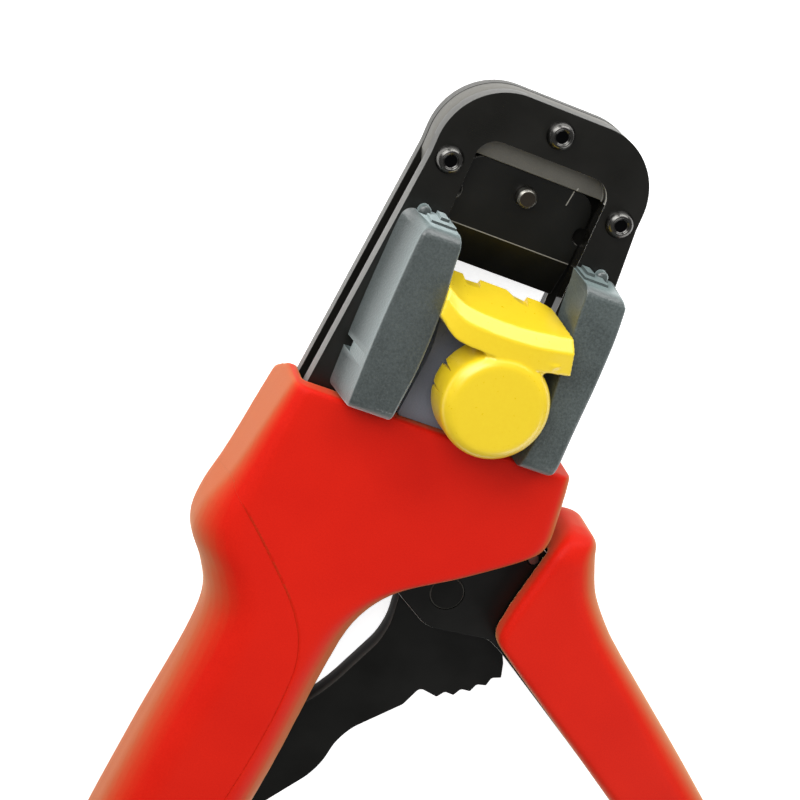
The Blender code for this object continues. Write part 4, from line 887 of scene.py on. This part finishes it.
clamp = {
    "centre": (5.2, -38.8), "radius": 11.2, "bottom": 7.4, "top": 17.5, "rim": 2.6, "lean": 0.35,
    "edge": -19.2, "slots": (163.0, 188.0), "slotTop": 13.4, "soften": 0.13,
    "notches": (((-8.0, 0.4), (-7.1, -1.0), (-4.2, -0.9), (-3.8, 0.4)),
                ((0.6, 0.4), (3.6, -0.8), (6.0, -1.05), (6.35, 0.4))),
    "neck": (((-3.6, -27.0), (13.2, -27.0), 16.6), ((-1.6, -28.9), (11.4, -28.9), 16.4),
             ((-0.9, -30.0), (11.0, -30.0), 16.3), ((-1.4, -31.4), (11.6, -31.4), 16.5),
             ((-2.6, -34.0), (12.4, -34.0), 17.1)),
    "neckLow": 8.6, "stem": ((1.8, -33.2, 3.8), (8.6, -29.8, 9.5)), "voxel": 0.26,
    "sections": [  # each from the lower edge over the crease and the front face to the keel
        ((-10.2, -19.2, 3.0), (-12.6, -20.4, 14.8), (-12.3, -25.6, 15.6), (-10.5, -27.5, 9.0), (-9.6, -24.5, 3.0)),
        ((-7.0, -19.2, 3.0), (-8.3, -22.6, 16.0), (-8.0, -28.6, 16.2), (-7.0, -29.0, 9.0), (-7.0, -25.0, 3.0)),
        ((-2.0, -19.2, 3.0), (-3.0, -23.2, 16.6), (-3.0, -29.2, 16.6), (-2.0, -29.2, 9.0), (-2.0, -25.0, 3.0)),
        ((4.0, -19.2, 3.0), (4.0, -23.1, 16.8), (4.0, -29.2, 16.8), (4.0, -29.2, 9.0), (4.0, -25.0, 3.0)),
        ((9.0, -19.2, 3.0), (10.5, -22.3, 16.6), (10.5, -29.0, 16.6), (9.0, -29.2, 9.0), (9.0, -25.0, 3.0)),
        ((12.2, -19.8, 3.0), (14.9, -21.6, 15.8), (16.6, -28.2, 15.8), (13.4, -28.6, 9.0), (12.0, -25.0, 3.0)),
    ],
}
creased = []
for lower, crease, brow, keel, heel in clamp["sections"]:
    # the crease between slope and front is a soft one
    middle = Vector(crease)
    creased.append([*lower, *middle.lerp(Vector(lower), clamp["soften"]),
                    *middle.lerp(Vector(brow), clamp["soften"] * 2.5), *brow, *keel, *heel])
knobRadius, rimRound = clamp["radius"], clamp["rim"]
rimCentre = (knobRadius - clamp["lean"] - rimRound, clamp["top"] - rimRound)
knobProfile = [(0, clamp["bottom"]), (knobRadius - 0.5, clamp["bottom"]), (knobRadius, clamp["bottom"] + 0.5)]
knobProfile += [polar(rimCentre, rimRound, angle) for angle in range(0, 91, 15)] + [(0, clamp["top"])]
contactClamp = objectFrom(turned(knobProfile, (*clamp["centre"], 0), 96), "contactClamp")
clampRows = flowing(creased, 6, 18)
carve(contactClamp, bridged([[row[first:first + 3] for first in range(0, 18, 3)] for row in clampRows]), "UNION")
neckLow = clamp["neckLow"]
carve(contactClamp, bridged([[(*first, neckLow), (*first, high), (*last, high), (*last, neckLow)]
                             for first, last, high in clamp["neck"]]), "UNION")
carve(contactClamp, block(*clamp["stem"]), "UNION")
carve(contactClamp, turned([(0, -20), (rocker["bore"], -20), (rocker["bore"], 20), (0, 20)],
                           (clamp["centre"][0], rocker["y"], rocker["z"]), 32, "X"))
melt(contactClamp, clamp["voxel"], 4)
for points in clamp["notches"]:
    first, last = points[0][0], points[-1][0]
    tooth = [(x, clamp["edge"] + drop) for x, drop in points] + [(last, -15.0), (first, -15.0)]
    carve(contactClamp, linePrism(tooth[::-1], 0, 9))
for angle in clamp["slots"]:
    # a slot in the knob's wall that narrows upwards
    groove = []
    for height, spread in ((clamp["bottom"] - 2, 4.2), (clamp["slotTop"], 0.4)):
        groove.append([(*polar(clamp["centre"], reach, angle + side * spread), height)
                       for reach, side in ((knobRadius - 1.8, 0.4), (knobRadius - 1.8, -0.4),
                                           (knobRadius + 1, -1.1), (knobRadius + 1, 1.1))])
    carve(contactClamp, bridged(groove))
keep(contactClamp, "yellow", "yellow_moulding", "contact_clamp", smoothAngle=70.0)
print("locator made")


# The other nodes keep their own shape

finishes = {"black_oxide": "plain", "steel": "steel", "red_moulding": "red", "grey_moulding": "grey",
            "yellow_moulding": "yellow"}
for entry in frame["record"]["subparts"]:
    node = frame["nodes"][entry["node"]]
    for slotIndex in range(len(node.material_slots)):
        node.material_slots[slotIndex].material = paints[finishes[entry["material_slot"]]]


# Stage, light and camera

def stageLook():
    look = Look("paleFloor", Roughness=0.9, Specular_IOR_Level=0.1)
    seen = look.node("ShaderNodeLightPath", {}, {}, "Is Camera Ray")
    glossy = look.node("ShaderNodeLightPath", {}, {}, "Is Glossy Ray")
    white = look.node("ShaderNodeEmission", {}, {"Color": (1, 1, 1, 1), "Strength": 0.80})
    look.set(Base_Color=(0.86, 0.86, 0.86, 1))
    lit = look.node("ShaderNodeAddShader", {}, {0: Wire(look, look.shader.outputs[0]), 1: white})
    factor = look.sum("MAXIMUM", seen, glossy)
    mixed = look.node("ShaderNodeMixShader", {}, {0: factor, 1: Wire(look, look.shader.outputs[0]), 2: lit})
    look.tree.links.new(mixed.socket, look.tree.nodes["Material Output"].inputs["Surface"])
    return look.material


floorMesh = bmesh.new()
bmesh.ops.create_grid(floorMesh, x_segments=1, y_segments=1, size=3.0)
floor = objectFrom(floorMesh, "floor")
floor.data.materials.append(stageLook())

world = bpy.data.worlds.new("studio")
world.use_nodes = True
world.node_tree.nodes["Background"].inputs["Color"].default_value = (1, 1, 1, 1)
world.node_tree.nodes["Background"].inputs["Strength"].default_value = 0.20
bpy.context.scene.world = world

lamps = {
    "leftPanel": {"at": (-0.40, 0.32, 0.22), "size": (0.35, 0.30), "power": 1.5},
    "topPanel": {"at": (0.10, 0.84, 0.36), "size": (0.8, 0.45), "power": 4.8},
    "frontPanel": {"at": (-0.42, 0.42, 0.80), "size": (0.5, 0.5), "power": 4.8},
    "rightPanel": {"at": (0.65, -0.40, 0.45), "size": (0.5, 0.5), "power": 2.5},
}
for name, lamp in lamps.items():
    data = bpy.data.lights.new(name, "AREA")
    data.shape = "RECTANGLE"
    data.size, data.size_y = lamp["size"]
    data.energy = lamp["power"]
    light = bpy.data.objects.new(name, data)
    bpy.context.scene.collection.objects.link(light)
    light.location = lamp["at"]
    aim = Vector((0, 0, 0.01)) - light.location
    light.rotation_euler = aim.to_track_quat("-Z", "Y").to_euler()

# the camera's place and turn, found from the straight edges in the photo
view = {
    "right": (0.90284, 0.39194, 0.17684), "up": (-0.31364, 0.88161, -0.35269),
    "back": (-0.29413, 0.26295, 0.91888), "place": (-146.7, 75.9, 433.6), "lens": 108.0,
}
cameraData = bpy.data.cameras.new("camera")
cameraData.lens = view["lens"]
cameraData.sensor_width = 36.0
cameraData.clip_start = 0.01
camera = bpy.data.objects.new("camera", cameraData)
bpy.context.scene.collection.objects.link(camera)
turn = Matrix((view["right"], view["up"], view["back"])).transposed().to_4x4()
camera.matrix_world = Matrix.Translation(toolOrigin + Vector(view["place"]) * mm) @ turn
bpy.context.scene.camera = camera
bpy.context.scene.view_settings.view_transform = "Standard"
